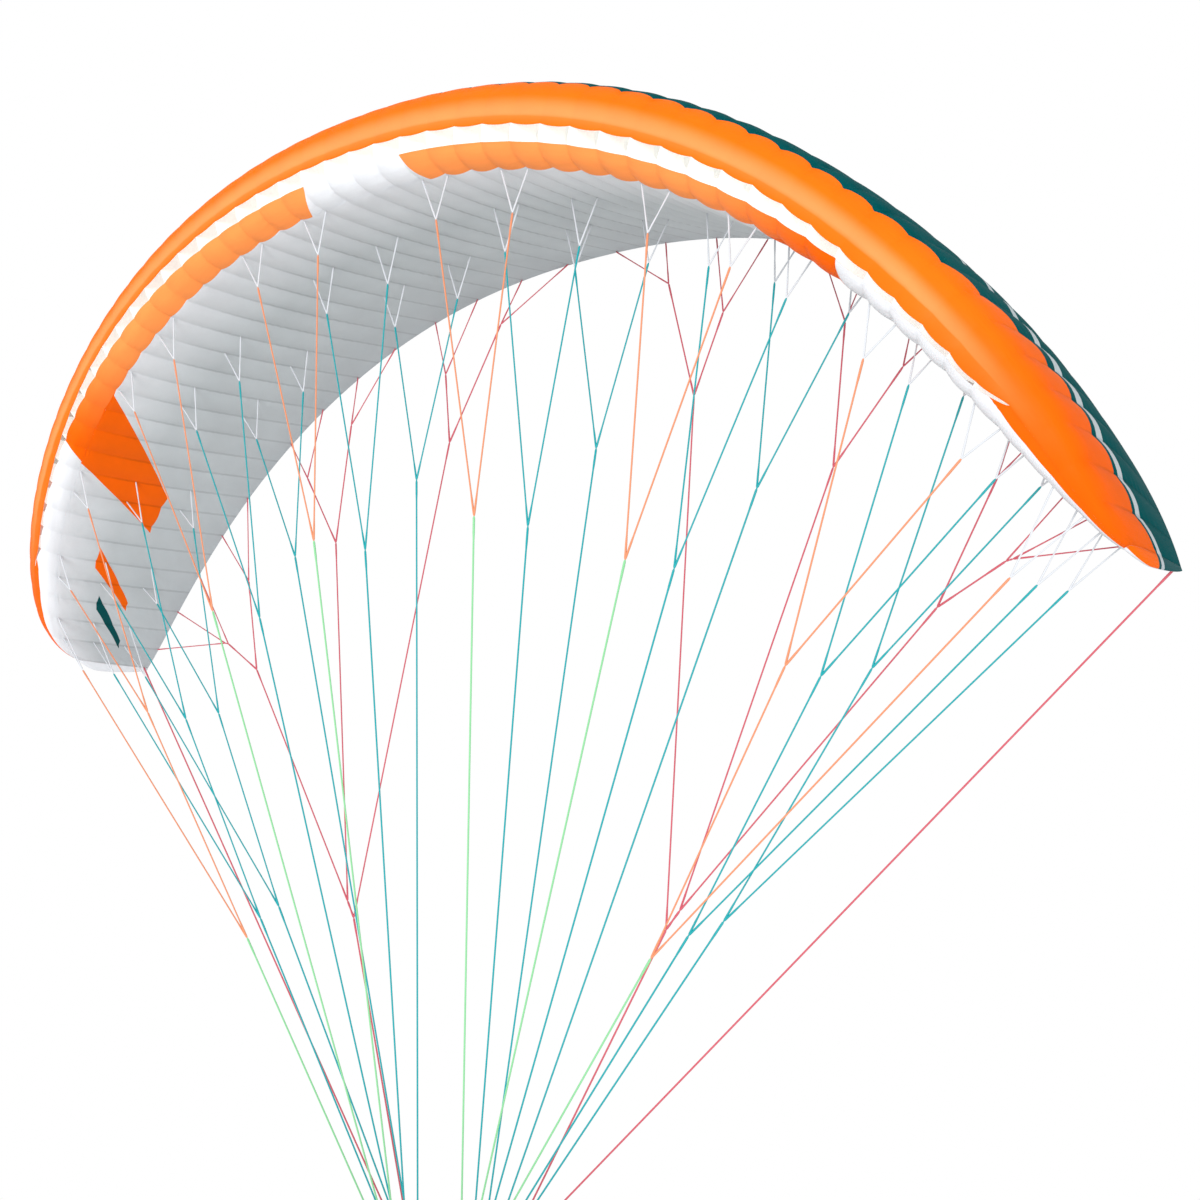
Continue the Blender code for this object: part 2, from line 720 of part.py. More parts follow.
def carabiner_loop(name, side, material):
    """Sewn foot of the riser with the open loop for the carabiner."""
    half, tall = LOOP_SLOT[0] / 2, LOOP_SLOT[1] / 2
    inner, outer = [], []
    steps = 5
    for end, sign in ((0, 1), (1, -1)):
        for i in range(steps):
            angle = end * math.pi + i / (steps - 1) * math.pi
            across, rise = math.cos(angle), math.sin(angle)
            inner.append((across * half, sign * (tall - half) + rise * half))
            grown = half + WEBBING * 1.6
            outer.append((across * grown, sign * (tall - half) + rise * grown))
    mesh = bmesh.new()
    rings = []
    for shift in (-WEBBING_WIDTH / 2, WEBBING_WIDTH / 2):
        x = (RISER_X + shift) * side
        for outline in (inner, outer):
            rings.append([mesh.verts.new((x, y, z)) for y, z in outline])
    close_band(mesh, rings)
    loop = add_object(name, mesh, material)
    block = bmesh.new()
    bmesh.ops.create_cube(block, size=1.0)
    low = tall + WEBBING * 0.8
    for vert in block.verts:
        vert.co.x = (RISER_X + vert.co.x * WEBBING_WIDTH) * side
        vert.co.y = vert.co.y * 0.0135
        vert.co.z = low + (vert.co.z + 0.5) * (FOOT_TOP - low)
    foot = add_object(name + "_foot", block, material)
    join(loop, foot)
    return loop


def brake_handle(name, side, material):
    """Webbing toggle: a rounded triangle of doubled tape."""
    corners = [((0.0, -0.016), 0.012, 90), ((-0.050, -0.092), 0.016, 210),
               ((0.050, -0.092), 0.016, 330)]
    inner, outer = [], []
    for (x, z), radius, facing in corners:
        for turn in (-60, -20, 20, 60):
            angle = math.radians(facing + turn)
            out = Vector((math.cos(angle), math.sin(angle)))
            inner.append((x + out.x * radius, z + out.y * radius))
            outer.append((x + out.x * (radius + WEBBING), z + out.y * (radius + WEBBING)))
    top = HANDLE_TOP.z - GAP - max(z for x, z in outer)
    mesh = bmesh.new()
    rings = []
    for shift in (-WEBBING_WIDTH / 2, WEBBING_WIDTH / 2):
        y = HANDLE_TOP.y + shift
        for outline in (inner, outer):
            rings.append([mesh.verts.new(((RISER_X + x) * side, y, top + z))
                          for x, z in outline])
    close_band(mesh, rings)
    return add_object(name, mesh, material)


def brake_ring(name, side, material):
    """The low-friction ring that guides the brake line."""
    path = []
    for i in range(10):
        angle = i * math.tau / 10
        out = Vector((math.cos(angle), math.sin(angle), 0))
        path.append((out * RING_RADIUS, out, Vector((0, 0, 1))))
    return rod_ring(name, BRAKE_RING, path, RING_ROD, 6, material, side)


# ------------------------------------------------------------------ assembly

def build_half(side, word, paints):
    edge = 0.001
    cloth_sheet("nose_cloth_" + word, half_cells(edge, CELLS), nose_stations, True, side,
                paints["orange"])
    cloth_sheet("upper_cloth_" + word, half_cells(edge, CELLS), rear_stations, True, side,
                paints["teal"])
    cloth_sheet("lower_cloth_" + word, half_cells(edge, CELLS), belly_stations, False, side,
                paints["grey"])
    cloth_sheet("front_band_" + word, half_cells(BAND_FROM + edge, BAND_TO - edge),
                lip_stations, False, side, paints["orange"])
    cloth_sheet("front_tip_" + word, half_cells(BAND_TO + edge, CELLS),
                lip_stations, False, side, paints["white"])
    rib_set("ribs_" + word, 0 if side > 0 else 1, side, paints["white"])
    tip_cap("tip_cap_" + word, side, paints["teal"])
    for row in ROWS:
        link, trees = row_trees(row)
        middle = 1.5 if row == "c" else 1.0
        for number, tree in enumerate(trees):
            shift = Vector(((number - middle) * LINK_SPREAD, 0, 0))
            line_tree("line_%s%d_%s" % (row, number + 1, word), link + shift, tree, side,
                      paints[row])
        quick_link("link_%s_%s" % (row, word), row, side, paints["steel"])
        riser_strap("riser_%s_%s" % (row, word), row, side, paints["black"])
    tip_end = sewn_end(CELLS, 1.93)
    tip_link = Vector((RISER_X, ROWS["c"]["link_y"], LINK_Z))
    line_tree("tip_line_" + word, tip_link + Vector((1.5 * LINK_SPREAD, 0, 0)), tip_end, side,
              paints["red"])
    line_tree("brake_line_" + word, HANDLE_TOP, brake_tree(), side, paints["red"])
    brake_ring("brake_ring_" + word, side, paints["steel"])
    ring_tab("brake_tab_" + word, side, paints["black"])
    brake_handle("brake_handle_" + word, side, paints["black"])
    carabiner_loop("carabiner_loop_" + word, side, paints["black"])


def main():
    for thing in list(bpy.data.objects):
        bpy.data.objects.remove(thing)
    paints = {
        "orange": cloth_material("orange_ripstop", ORANGE),
        "teal": cloth_material("teal_ripstop", TEAL),
        "white": cloth_material("white_ripstop", WHITE),
        "grey": cloth_material("grey_ripstop", GREY),
        "a": cloth_material("green_line", GREEN, 0.6),
        "b": cloth_material("teal_line", LINE_TEAL, 0.6),
        "c": cloth_material("teal_line_rear", LINE_TEAL, 0.6),
        "red": cloth_material("red_line", RED, 0.6),
        "black": cloth_material("black_webbing", BLACK, 0.7),
        "steel": cloth_material("steel", STEEL, 0.3, 1.0),
    }
    cloth_sheet("front_centre", half_cells(-BAND_FROM + 0.001, BAND_FROM - 0.001),
                lip_stations, False, 1, paints["white"])
    for side, word in ((1, "right"), (-1, "left")):
        build_half(side, word, paints)


main()
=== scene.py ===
import math
from functools import partial

import bpy
import numpy as np
from mathutils import Matrix, Vector


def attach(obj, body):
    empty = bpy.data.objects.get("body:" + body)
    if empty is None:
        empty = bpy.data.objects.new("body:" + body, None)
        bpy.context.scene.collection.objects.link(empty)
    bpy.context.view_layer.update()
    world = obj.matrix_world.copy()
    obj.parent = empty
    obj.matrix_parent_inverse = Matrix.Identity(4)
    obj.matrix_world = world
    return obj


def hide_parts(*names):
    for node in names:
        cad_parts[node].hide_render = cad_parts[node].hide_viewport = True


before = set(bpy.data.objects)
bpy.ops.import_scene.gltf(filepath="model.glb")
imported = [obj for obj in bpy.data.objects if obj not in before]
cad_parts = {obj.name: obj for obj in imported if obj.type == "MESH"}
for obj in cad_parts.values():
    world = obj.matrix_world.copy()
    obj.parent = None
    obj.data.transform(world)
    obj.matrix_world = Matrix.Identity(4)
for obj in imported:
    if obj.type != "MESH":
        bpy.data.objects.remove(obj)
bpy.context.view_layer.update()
scene = bpy.context.scene

# ---- small helpers


def show(name, data):
    thing = bpy.data.objects.new(name, data)
    scene.collection.objects.link(thing)
    return thing


def linear(hexText):
    channels = [int(hexText[i:i + 2], 16) / 255 for i in (0, 2, 4)]
    return tuple(c / 12.92 if c < 0.04045 else ((c + 0.055) / 1.055) ** 2.4
                 for c in channels) + (1.0,)


def feed(node, inputs):
    # an input takes a plain value, a socket, a Term, or a node for its first output
    for place, value in inputs.items():
        if isinstance(value, Term):
            value = value.socket
        if isinstance(value, bpy.types.Node):
            value = value.outputs[0]
        if isinstance(value, bpy.types.NodeSocket):
            node.id_data.links.new(value, node.inputs[place])
        else:
            node.inputs[place].default_value = value


def addNode(tree, kind, inputs=None, **settings):
    # a kind without a prefix is one of the tree's own kinds
    own = "ShaderNode" if tree.type == "SHADER" else "GeometryNode"
    node = tree.nodes.new(kind if "Node" in kind else own + kind)
    for name, value in settings.items():
        setattr(node, name, value)
    feed(node, inputs or {})
    return node


class Term:
    # a socket that can be written into a sum
    def __init__(self, socket):
        self.socket = socket

    def into(self, kind, place, inputs=None, output=0, **settings):
        # feeds a new node of any kind at one place and gives back one of its outputs
        node = addNode(self.socket.id_data, kind, {place: self, **(inputs or {})}, **settings)
        return Term(node.outputs[output])

    def __rsub__(self, number):
        return self.into("ShaderNodeMath", 1, {0: number}, operation="SUBTRACT")


def sumOf(operation):
    def added(term, *others):
        return term.into("ShaderNodeMath", 0, dict(enumerate(others, 1)), operation=operation)
    return added


for name, operation in {
        "__add__": "ADD", "__sub__": "SUBTRACT", "__mul__": "MULTIPLY", "__truediv__": "DIVIDE",
        "__gt__": "GREATER_THAN", "__lt__": "LESS_THAN", "__abs__": "ABSOLUTE", "part": "FRACT",
        "sine": "SINE", "root": "SQRT", "larger": "MAXIMUM", "smaller": "MINIMUM"}.items():
    setattr(Term, name, sumOf(operation))


def paintOver(color, *layers):
    # each layer is a mask and what it lays over the colour: a tint's name or a colour
    for mask, over in layers:
        under, over = (linear(tints[c]) if isinstance(c, str) else c for c in (color, over))
        color = mask.into("Mix", "Factor", {6: under, 7: over}, 2, data_type="RGBA")
    return color


def uvLayer(tree, name):
    # the layer as a vector, and its two axes
    vector = addNode(tree, "UVMap", uv_map=name)
    apart = addNode(tree, "ShaderNodeSeparateXYZ", {0: vector}).outputs
    return vector, Term(apart[0]), Term(apart[1])


def newMaterial(name, inputs):
    material = bpy.data.materials.new(name)
    material.use_nodes = True
    shader = material.node_tree.nodes["Principled BSDF"]
    feed(shader, inputs)
    return material, material.node_tree, shader


def surface(shader, color, shade, height=None, strength=0.0, depth=0.0):
    # the base colour scaled by a shade, and a bump from a height
    if isinstance(color, str):
        color = linear(tints[color])[:3]
    made = {"Base Color": addNode(shader.id_data, "VectorMath", {
        0: color, "Scale": shade}, operation="SCALE")}
    if height:
        made["Normal"] = addNode(shader.id_data, "Bump", {
            "Height": height, "Strength": strength, "Distance": depth})
    feed(shader, made)
    return made


def newMesh(name, points, edges=(), faces=(), **layers):
    mesh = bpy.data.meshes.new(name)
    mesh.from_pydata([tuple(p) for p in points], edges, faces)
    for label, values in layers.items():
        # one number or one vector for every point
        values = np.array(values, dtype=np.float32)
        kind, key = ("FLOAT_VECTOR", "vector") if values.ndim > 1 else ("FLOAT", "value")
        layer = mesh.attributes.new(label, kind, "POINT")
        layer.data.foreach_set(key, values.reshape(-1))
    return mesh


def softEdges(mesh, degrees):
    mesh.shade_smooth()
    mesh.set_sharp_from_angle(angle=math.radians(degrees))


def keep(thing, slotName, *nodes):
    if nodes:
        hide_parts(*nodes)
    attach(thing, "root")


sides = {"right": 1, "left": -1}


def bothSides(*stems):
    return [f"{stem}_{word}" for stem in stems for word in sides]


# ---- camera: low and to the wing's right, looking up into the cells

camera = {
    "lens": 55.47,  # mm on a 36 mm sensor
    "place": (7.726, -7.910, 2.742),
    "ahead": (-0.63451, 0.75742, 0.15400),
    "up": (0.08321, -0.13115, 0.98786),
}


def placeCamera(size):
    lens = bpy.data.cameras.new("camera")
    lens.lens = size["lens"]
    lens.sensor_width = 36
    lens.clip_end = 200
    ahead, up = (Vector(size[key]).normalized() for key in ("ahead", "up"))
    turn = Matrix((ahead.cross(up), up, -ahead)).transposed().to_4x4()
    scene.camera = show("camera", lens)
    scene.camera.matrix_world = Matrix.Translation(size["place"]) @ turn


placeCamera(camera)

# ---- the wing's plan, arc and section, as its maker's plan gives them

wing = {
    "halfSpan": 5.20,  # one half laid flat
    "cells": 27,  # in one half
    "cellTaper": 0.086,
    "arcAngle": math.radians(68.6),
    "arcPower": 1.16,
    "rootChord": 2.23,
    "tipChord": 0.78,
    "blunt": 0.985,  # how much of an ellipse the plan takes up
    "tipSweep": 1.19,
    "sweepEase": 0.117,
    "tipRound": 0.14,  # the front corner is rounded back at the tip
    "roundFrom": 0.938,
    "noseY": -1.045,
    "noseZ": 6.93,
}
profile = {
    "noseRise": 0.0115,
    "crestAt": 0.123,
    "crestRise": 0.131,
    "bellyRise": -0.081,
    "nosePower": 3.0,
    "tipPinch": 0.35,
    "pinchCells": 4,
}
panels = {
    "breakRibs": (0, 6, 12, 17, 19, 20, 21, 22, 24, 25, 26, 27),  # rear edge of the nose
    "breakChords": (0.042, 0.036, 0.031, 0.034, 0.064, 0.125, 0.215, 0.255, 0.264, 0.325, 0.375,
                    0.465),
    "breakBulge": 0.012,
    "stripeRibs": (15, 19, 22, 24, 25, 26, 27),  # front edge of the pale stripe
    "stripeChords": (0.390, 0.365, 0.312, 0.314, 0.375, 0.425, 0.515),
    "lipStation": 0.267,  # lower lip of the inlets
    "bandStation": 0.862,  # rear edge of the lower front panels
    "lastInlet": 23,
    "lipBase": 0.014,  # the upper lip hangs this far below the nose at a rib
    "lipSag": 0.012,  # and this much further between two ribs
    "lipOuter": 0.024,  # and further still, in shares of the chord, over the outer cells
    "lipRibs": (14.0, 19.0),
    "upperBillow": 0.10,  # crown of a cell, as a share of its width
    "lowerBillow": 0.095,
    "noseBillow": 0.022,  # over the stiff nose, where it starts to grow
    "billowFrom": 0.6,  # stations over which it grows, and over which it dies at the rear
    "billowRun": 0.6,
    "billowTail": 0.5,
    "tipDome": 0.070,
    "tipFront": 0.35,  # the dome grows from nothing over this share of the chord
    "gap": 0.0006,
    "cloth": 0.0012,
    "fullness": 1.02,  # cloth in a panel over its smooth length
    "tipFullness": 1.04,
}


def arcTable(steps=1080):
    slopes = wing["arcAngle"] * ((np.arange(steps) + 0.5) / steps) ** wing["arcPower"]
    step = wing["halfSpan"] / steps
    x = np.concatenate(([0.0], np.cumsum(np.cos(slopes)) * step))
    z = np.concatenate(([0.0], -np.cumsum(np.sin(slopes)) * step))
    return np.linspace(0, 1, steps + 1), x, z


arc = arcTable()


def spanShare(rib):
    share = rib / wing["cells"]
    return share * (1 - wing["cellTaper"] * share ** 2) / (1 - wing["cellTaper"])


def arcPlace(rib):
    # x and z of the nose line before it is moved to its height
    share = spanShare(rib)
    return np.interp(share, arc[0], arc[1]), np.interp(share, arc[0], arc[2])


def arcSlope(rib):
    return wing["arcAngle"] * spanShare(rib) ** wing["arcPower"]


def planAt(rib):
    # chord and sweep
    least = math.sqrt(1 - wing["blunt"] ** 2)
    share = spanShare(rib)
    ellipse = (np.sqrt(1 - (wing["blunt"] * share) ** 2) - least) / (1 - least)
    chord = wing["tipChord"] + (wing["rootChord"] - wing["tipChord"]) * ellipse
    sweep = wing["tipSweep"] * (1 - ellipse) - wing["sweepEase"] * share ** 2
    turn = np.clip((share - wing["roundFrom"]) / (1 - wing["roundFrom"]), 0, 1)
    corner = wing["tipRound"] * (1 - np.sqrt(1 - turn ** 2))
    return chord - corner, sweep + corner


def pinchAt(rib):
    inward = np.minimum(1.0, (wing["cells"] - rib) / profile["pinchCells"])
    return profile["tipPinch"] + (1 - profile["tipPinch"]) * np.sin(inward * math.pi / 2)


def section(station, upper):
    # station 0 at the nose, 1 at the crest or belly, 2 at the trailing edge
    station = np.asarray(station, dtype=float)
    rise = profile["crestRise"] if upper else profile["bellyRise"]
    nose = profile["noseRise"]
    angle = np.clip(station, 0, 1) * math.pi / 2
    power = 2 / profile["nosePower"]
    frontAlong = profile["crestAt"] * (1 - np.maximum(np.cos(angle), 0) ** power)
    frontRise = nose + (rise - nose) * np.sin(angle) ** power
    back = np.clip(station - 1, 0, 1)
    along = np.where(station <= 1, frontAlong, profile["crestAt"] + back * (1 - profile["crestAt"]))
    high = np.where(station <= 1, frontRise, rise * (1 - 1.5 * back ** 2 + 0.5 * back ** 3))
    high = high + np.minimum(station, 0) * (1 if upper else -1)
    return along, high


def stationOf(chordShare):
    chordShare = np.asarray(chordShare, dtype=float)
    cosine = np.maximum(1 - chordShare / profile["crestAt"], 0) ** (profile["nosePower"] / 2)
    behind = np.maximum(chordShare - profile["crestAt"], 0) / (1 - profile["crestAt"])
    return np.arccos(cosine) / (math.pi / 2) + behind


def outline(station, upper, thickness):
    # the direction out of the section, from two stations close by
    step = 0.004
    near = section(np.maximum(station - step, 0.0), upper)
    far = section(np.clip(station, 0, None) + step, upper)
    along = far[0] - near[0]
    rise = (far[1] - near[1]) * thickness
    size = np.hypot(along, rise)
    sign = 1 if upper else -1
    return -sign * rise / size, sign * along / size


def cellWidth(rib):
    low = np.minimum(np.floor(rib), wing["cells"] - 1)
    return wing["halfSpan"] * (spanShare(low + 1) - spanShare(low))


def opening(rib):
    # 1 where the cells have inlets, 0 where the nose is sewn shut
    return np.clip(panels["lastInlet"] - rib, 0.0, 1.0)


def acrossCell(rib):
    # 0 at both ribs of a cell and 1 in its middle
    part = np.minimum(rib - np.floor(rib), 1.0)
    return 4 * part * (1 - part)


def breakShare(rib):
    bulge = panels["breakBulge"] * acrossCell(rib)
    return np.interp(rib, panels["breakRibs"], panels["breakChords"]) + bulge


def stripeShare(rib):
    return np.interp(rib, panels["stripeRibs"], panels["stripeChords"])


def skin(rib, station, upper, offset=0.0):
    # points of one half; offset is measured out from the section
    rib, station, offset = np.broadcast_arrays(
        np.asarray(rib, dtype=float), np.asarray(station, dtype=float), offset)
    x, z = arcPlace(rib)
    chord, sweep = planAt(rib)
    slope, thickness = arcSlope(rib), pinchAt(rib)
    along, rise = section(station, upper)
    outAlong, outRise = outline(station, upper, thickness)
    grown = np.clip((station - panels["billowFrom"]) / panels["billowRun"], 0, 1)
    most = panels["upperBillow"] if upper else panels["lowerBillow"]
    billow = panels["noseBillow"] + (most - panels["noseBillow"]) * grown ** 2 * (3 - 2 * grown)
    if not upper:
        billow = billow + (most - billow) * opening(rib)
    tail = np.minimum(1.0, (2 - station) / panels["billowTail"])
    out = offset + acrossCell(rib) * billow * cellWidth(rib) * tail
    back = chord * along + out * outAlong
    up = chord * rise * thickness + out * outRise
    return np.stack((x + up * np.sin(slope), wing["noseY"] + sweep + back,
                     wing["noseZ"] + z + up * np.cos(slope)), axis=-1)


# ---- cloth finishes

ripstop = {
    "square": 0.010,  # the real grid is 5 mm; doubled so that a close view shows it
    "threadShare": 0.10,
    "threadShade": 0.05,
    "threadRelief": 0.08,
    "through": 0.38,  # light that passes the thin coated cloth
    "seam": 0.009,  # half of the doubled cloth along a rib
    "cell": 0.2,  # mean width of a cell, which turns the seam into a share
    # darker along each rib: partly the doubled cloth of the seam, partly painted shade of the
    # billowed cells
    "seamAndPaintedShade": 0.14,
    "seamFrom": {"From Min": 0.12, "From Max": 0.30},  # no seam shows on the nose
    "paintedInsideLight": 0.9,  # painted light: how far the inside of the cloth is painted pale, so that it reads as lit
    "cloudShade": {"From Min": 0.3, "From Max": 0.7, "To Min": 0.95, "To Max": 1.03},
    "cloud": {"Scale": 2.2, "Detail": 4.0, "Roughness": 0.6},
    "crinkle": {"Scale": 14.0, "Detail": 5.0, "Roughness": 0.62, "Distortion": 0.6},
    "bump": (0.35, 0.004),
}
tints = {
    "orange": "FC790E",
    "orangePaintedHighlight": "FFB87C",
    "orangeDeep": "F46A00",
    "orangeBand": "F89C54",
    "teal": "005053",
    "stripe": "B9C2C6",
    "white": "F4F4F2",
    "insidePaintedLight": "F6F3EE",
    "underFront": "E6E9EE",
    "underPaintedShade": "C8CED2",
    "greenLine": "78B884",
    "tealLine": "0E8E94",
    "salmonLine": "C87E5A",
    "redLine": "B44C5A",
    "whiteLine": "BCBFC4",
    "webbing": "1C1D20",
    "thread": "E2E4E6",
    "steel": "B9BCC0",
    "floor": "F2F2F2",
}


def ripstopNylon(name, colorsOf, through=ripstop["through"], paintedGlow=0.0, gloss=0.1):
    # ripstop nylon with a polyurethane coat: thin, lit from behind, and a faint dry gloss
    # the emission is painted light: a white glow, none unless a cloth is given one
    material, tree, shader = newMaterial(name, {
        "Roughness": 0.5, "IOR": 1.45, "Specular IOR Level": gloss,
        "Emission Color": linear(tints["white"]), "Emission Strength": paintedGlow})
    weave, *axes = uvLayer(tree, "weave")
    rib, chordShare = uvLayer(tree, "panel")[1:]
    warp, weft = ((axis / ripstop["square"]).part() < ripstop["threadShare"] for axis in axes)
    threads = warp.larger(weft)
    nearRib = abs((rib + 100.5).part() - 0.5)
    seam = (nearRib < ripstop["seam"] / ripstop["cell"]) * chordShare.into(
        "MapRange", "Value", ripstop["seamFrom"])
    inside = Term(addNode(tree, "Attribute", attribute_name="inside").outputs["Fac"])
    # the inside of the cloth is painted pale: painted light
    color = paintOver(colorsOf(rib, chordShare), (inside * ripstop["paintedInsideLight"], "insidePaintedLight"))
    cloud, crinkle = (Term(addNode(tree, "TexNoise", {
        "Vector": weave, **ripstop[key]}).outputs[0]) for key in ("cloud", "crinkle"))
    # random tone, and darker along the rib seams: partly the doubled cloth, partly painted shade
    shade = cloud.into("MapRange", "Value", ripstop["cloudShade"]) * (
        1 - seam * ripstop["seamAndPaintedShade"])
    made = surface(shader, color, shade * (1 - threads * ripstop["threadShade"]),
                   crinkle + threads * ripstop["threadRelief"], *ripstop["bump"])
    back = addNode(tree, "BsdfTranslucent", {
        "Color": made["Base Color"], "Normal": made["Normal"]})
    both = addNode(tree, "MixShader", {0: through, 1: shader, 2: back})
    feed(tree.nodes["Material Output"], {"Surface": both})
    return material


noseTones = {
    "lit": 0.48,  # painted highlight: over the root of the chord share it rises at the lip and then fades
    "paintedHighlightRise": {"From Min": 0.0, "From Max": 0.013},
    "paintedHighlightFall": {"From Min": 0.013, "From Max": 0.092},
    "deepRibs": {"From Min": 18.5, "From Max": 25.0},
}
upperStripe = {"from": 15.5, "wide": 0.012, "grow": 0.0075, "widest": 0.062}
lowerMarks = {
    "paintedShadeChords": {"From Min": 0.02, "From Max": 0.38},  # painted shade: the pale cloth is painted grey towards the rear between these
    "bandFrom": 1.9, "bandTo": 17.0,  # ribs where the orange front band starts and ends
    "bandSlant": 7.0,  # ribs per chord share at its ends
    "bandRear": 0.0795,
    "deepRibs": {"From Min": 11.5, "From Max": 17.0},  # the band's painted light fades into the deep orange between these
    "wrapRibs": {"From Min": 21.5, "From Max": 24.0},  # the nose's orange wraps under from here
    "wrap": 0.0045,
    "blades": [  # chords, rib at the front, lean, front and rear width
        {"front": 0.075, "rear": 0.55, "rib": 14.2, "lean": 9.0, "wide": 3.4, "end": 1.8,
         "tint": "orangeDeep"},
        {"front": 0.30, "rear": 0.58, "rib": 21.3, "lean": 9.0, "wide": 1.0, "end": 0.4,
         "tint": "orangeDeep"},
        {"front": 0.36, "rear": 0.60, "rib": 23.6, "lean": 9.0, "wide": 0.7, "end": 0.4,
         "tint": "teal"},
    ],
}
eased = {"interpolation_type": "SMOOTHSTEP"}


def noseColors(rib, chordShare):
    # orange with a painted highlight over the rolled front near the lip, and deep at the tips,
    # where the highlight fades out
    place = chordShare.larger(0.0).root()
    deep, rise, fall = (term.into("MapRange", "Value", noseTones[key], **eased) for term, key in (
        (abs(rib), "deepRibs"), (place, "paintedHighlightRise"), (place, "paintedHighlightFall")))
    # painted highlight laid over the orange
    lit = rise * (1 - fall) * ((1 - deep) * noseTones["lit"])
    return paintOver("orange", (deep, "orangeDeep"), (lit, "orangePaintedHighlight"))


def upperColors(rib, chordShare):
    # orange nose, teal behind it, and one pale stripe that widens out towards each tip
    size, out = upperStripe, abs(rib)
    pastStripe, pastBreak = uvLayer(rib.socket.id_data, "edge")[1:]
    rear = ((out - size["from"]) * size["grow"] + size["wide"]).smaller(size["widest"])
    stripe = (pastStripe > 0.0) * (pastStripe < rear) * (out > size["from"])
    return paintOver("teal", (stripe, "stripe"), (pastBreak < 0.0, "orangeDeep"))


def lowerColors(rib, chordShare):
    # pale cloth painted grey towards the rear as painted shade, an orange band behind the inlets
    # painted pale at its middle as painted light, and three leaning blades near each tip
    marks, out = lowerMarks, abs(rib)
    # painted shade: how far the cloth is painted grey towards the rear
    pale = chordShare.into("MapRange", "Value", marks["paintedShadeChords"])
    deep, wrapped = (out.into("MapRange", "Value", marks[key], **eased)
                     for key in ("deepRibs", "wrapRibs"))
    slant = chordShare * marks["bandSlant"]
    band = (out > slant + marks["bandFrom"]) * (out < slant + marks["bandTo"]) * (
        chordShare < marks["bandRear"])
    # the band is painted pale at the centre as painted light, and deeper outward
    layers = [(pale, "underPaintedShade"), (band, paintOver("orangeBand", (deep, "orangeDeep"))),
              (chordShare < wrapped * marks["wrap"], "orangeDeep")]
    for blade in marks["blades"]:
        length = blade["rear"] - blade["front"]
        along = (chordShare - blade["front"]) / length
        across = out - (along * (blade["lean"] * length) + blade["rib"])
        width = along * (blade["end"] - blade["wide"]) + blade["wide"]
        mask = (along > 0.0) * (along < 1.0) * (across > 0.0) * (across < width)
        layers.append((mask, blade["tint"]))
    return paintOver("underFront", *layers)


def tipColors(rib, chordShare):
    # as the upper cloth down to the widest place, then the pale cloth of the underside
    below = abs(rib) > wing["cells"] + 0.5
    return paintOver(upperColors(rib, chordShare), (below, "underFront"))


def ribColors(rib, chordShare):
    return "white"


orangeCloth = ripstopNylon("orange ripstop nylon", noseColors)
upperCloth = ripstopNylon("teal ripstop nylon", upperColors, 0.2, gloss=0.008)
lowerCloth = ripstopNylon("pale ripstop nylon", lowerColors)
tipCloth = ripstopNylon("tip ripstop nylon", tipColors, 0.25)
# the ribs glow white: painted light, so that the shaded ribs in the inlets read bright
ribCloth = ripstopNylon("white rib cloth", ribColors, 0.45, paintedGlow=0.45)
print("finishes for the cloth are ready")

# ---- the four skins

skins = {
    "crossings": (0.0, 0.05, 0.14, 0.27, 0.42, 0.58, 0.73, 0.86, 0.95),  # columns in one cell
    "noseRows": 30,
    "lipPower": 12,  # keeps the lip's sag within the first rows
    "rearRows": 52,
    "rearPower": 1.3,  # finer rows over the crest
    "bandRows": 14,
    "bellyRows": 60,
    "puckerLength": 0.085,
    "puckerHeight": 0.0030,
    "puckerReach": 0.16,  # share of a cell that a pucker runs into
    "puckerSeam": 0.03,  # flat this close to the seam
    "puckerSwell": (0.6, 1.2),
    "puckerWander": (0.7, 1.7),  # keeps the puckers from coming evenly
    "puckerEnds": (0.5, 0.25),  # stations over which they start and die
    "tipRows": 40,
    "tipPower": 1.5,
    "tipColumns": 19,
    "seed": 7,
}


def sag(rib):
    drop = panels["lipBase"] + panels["lipSag"] * acrossCell(rib)
    outer = np.interp(rib, panels["lipRibs"], (0.0, panels["lipOuter"]))
    return (drop / planAt(rib)[0] + outer) * opening(rib)


def pastSeam(rib, station, sign=1):
    # a station half the sewing gap before or after a seam
    step = 0.01
    near, far = section(station - step, True), section(station + step, True)
    rate = np.hypot(far[0] - near[0], (far[1] - near[1]) * pinchAt(rib)) / (2 * step)
    return station + sign * panels["gap"] / 2 / (planAt(rib)[0] * rate)


def spread(count, first, last, power=1.0):
    return first + (last - first) * np.linspace(0, 1, count)[:, None] ** power


def noseStations(rib):
    # finer near the lip, where the curve is tight
    fade = np.linspace(1, 0, skins["noseRows"])[:, None] ** skins["lipPower"]
    last = pastSeam(rib, stationOf(breakShare(rib)), -1)
    return spread(skins["noseRows"], 0, last) - sag(rib) * fade


def rearStations(rib):
    first = pastSeam(rib, stationOf(breakShare(rib)))
    return spread(skins["rearRows"], first, 2, skins["rearPower"])


def bandStations(rib):
    depth = (profile["noseRise"] - profile["bellyRise"]) * planAt(rib)[0] * pinchAt(rib)
    closed = np.arcsin((0.5 * panels["gap"] / depth) ** 1.5) / (math.pi / 2)
    first = closed + (panels["lipStation"] - closed) * opening(rib)
    return spread(skins["bandRows"], first, pastSeam(rib, panels["bandStation"], -1))


def bellyStations(rib):
    return spread(skins["bellyRows"], pastSeam(rib, panels["bandStation"]), 2)


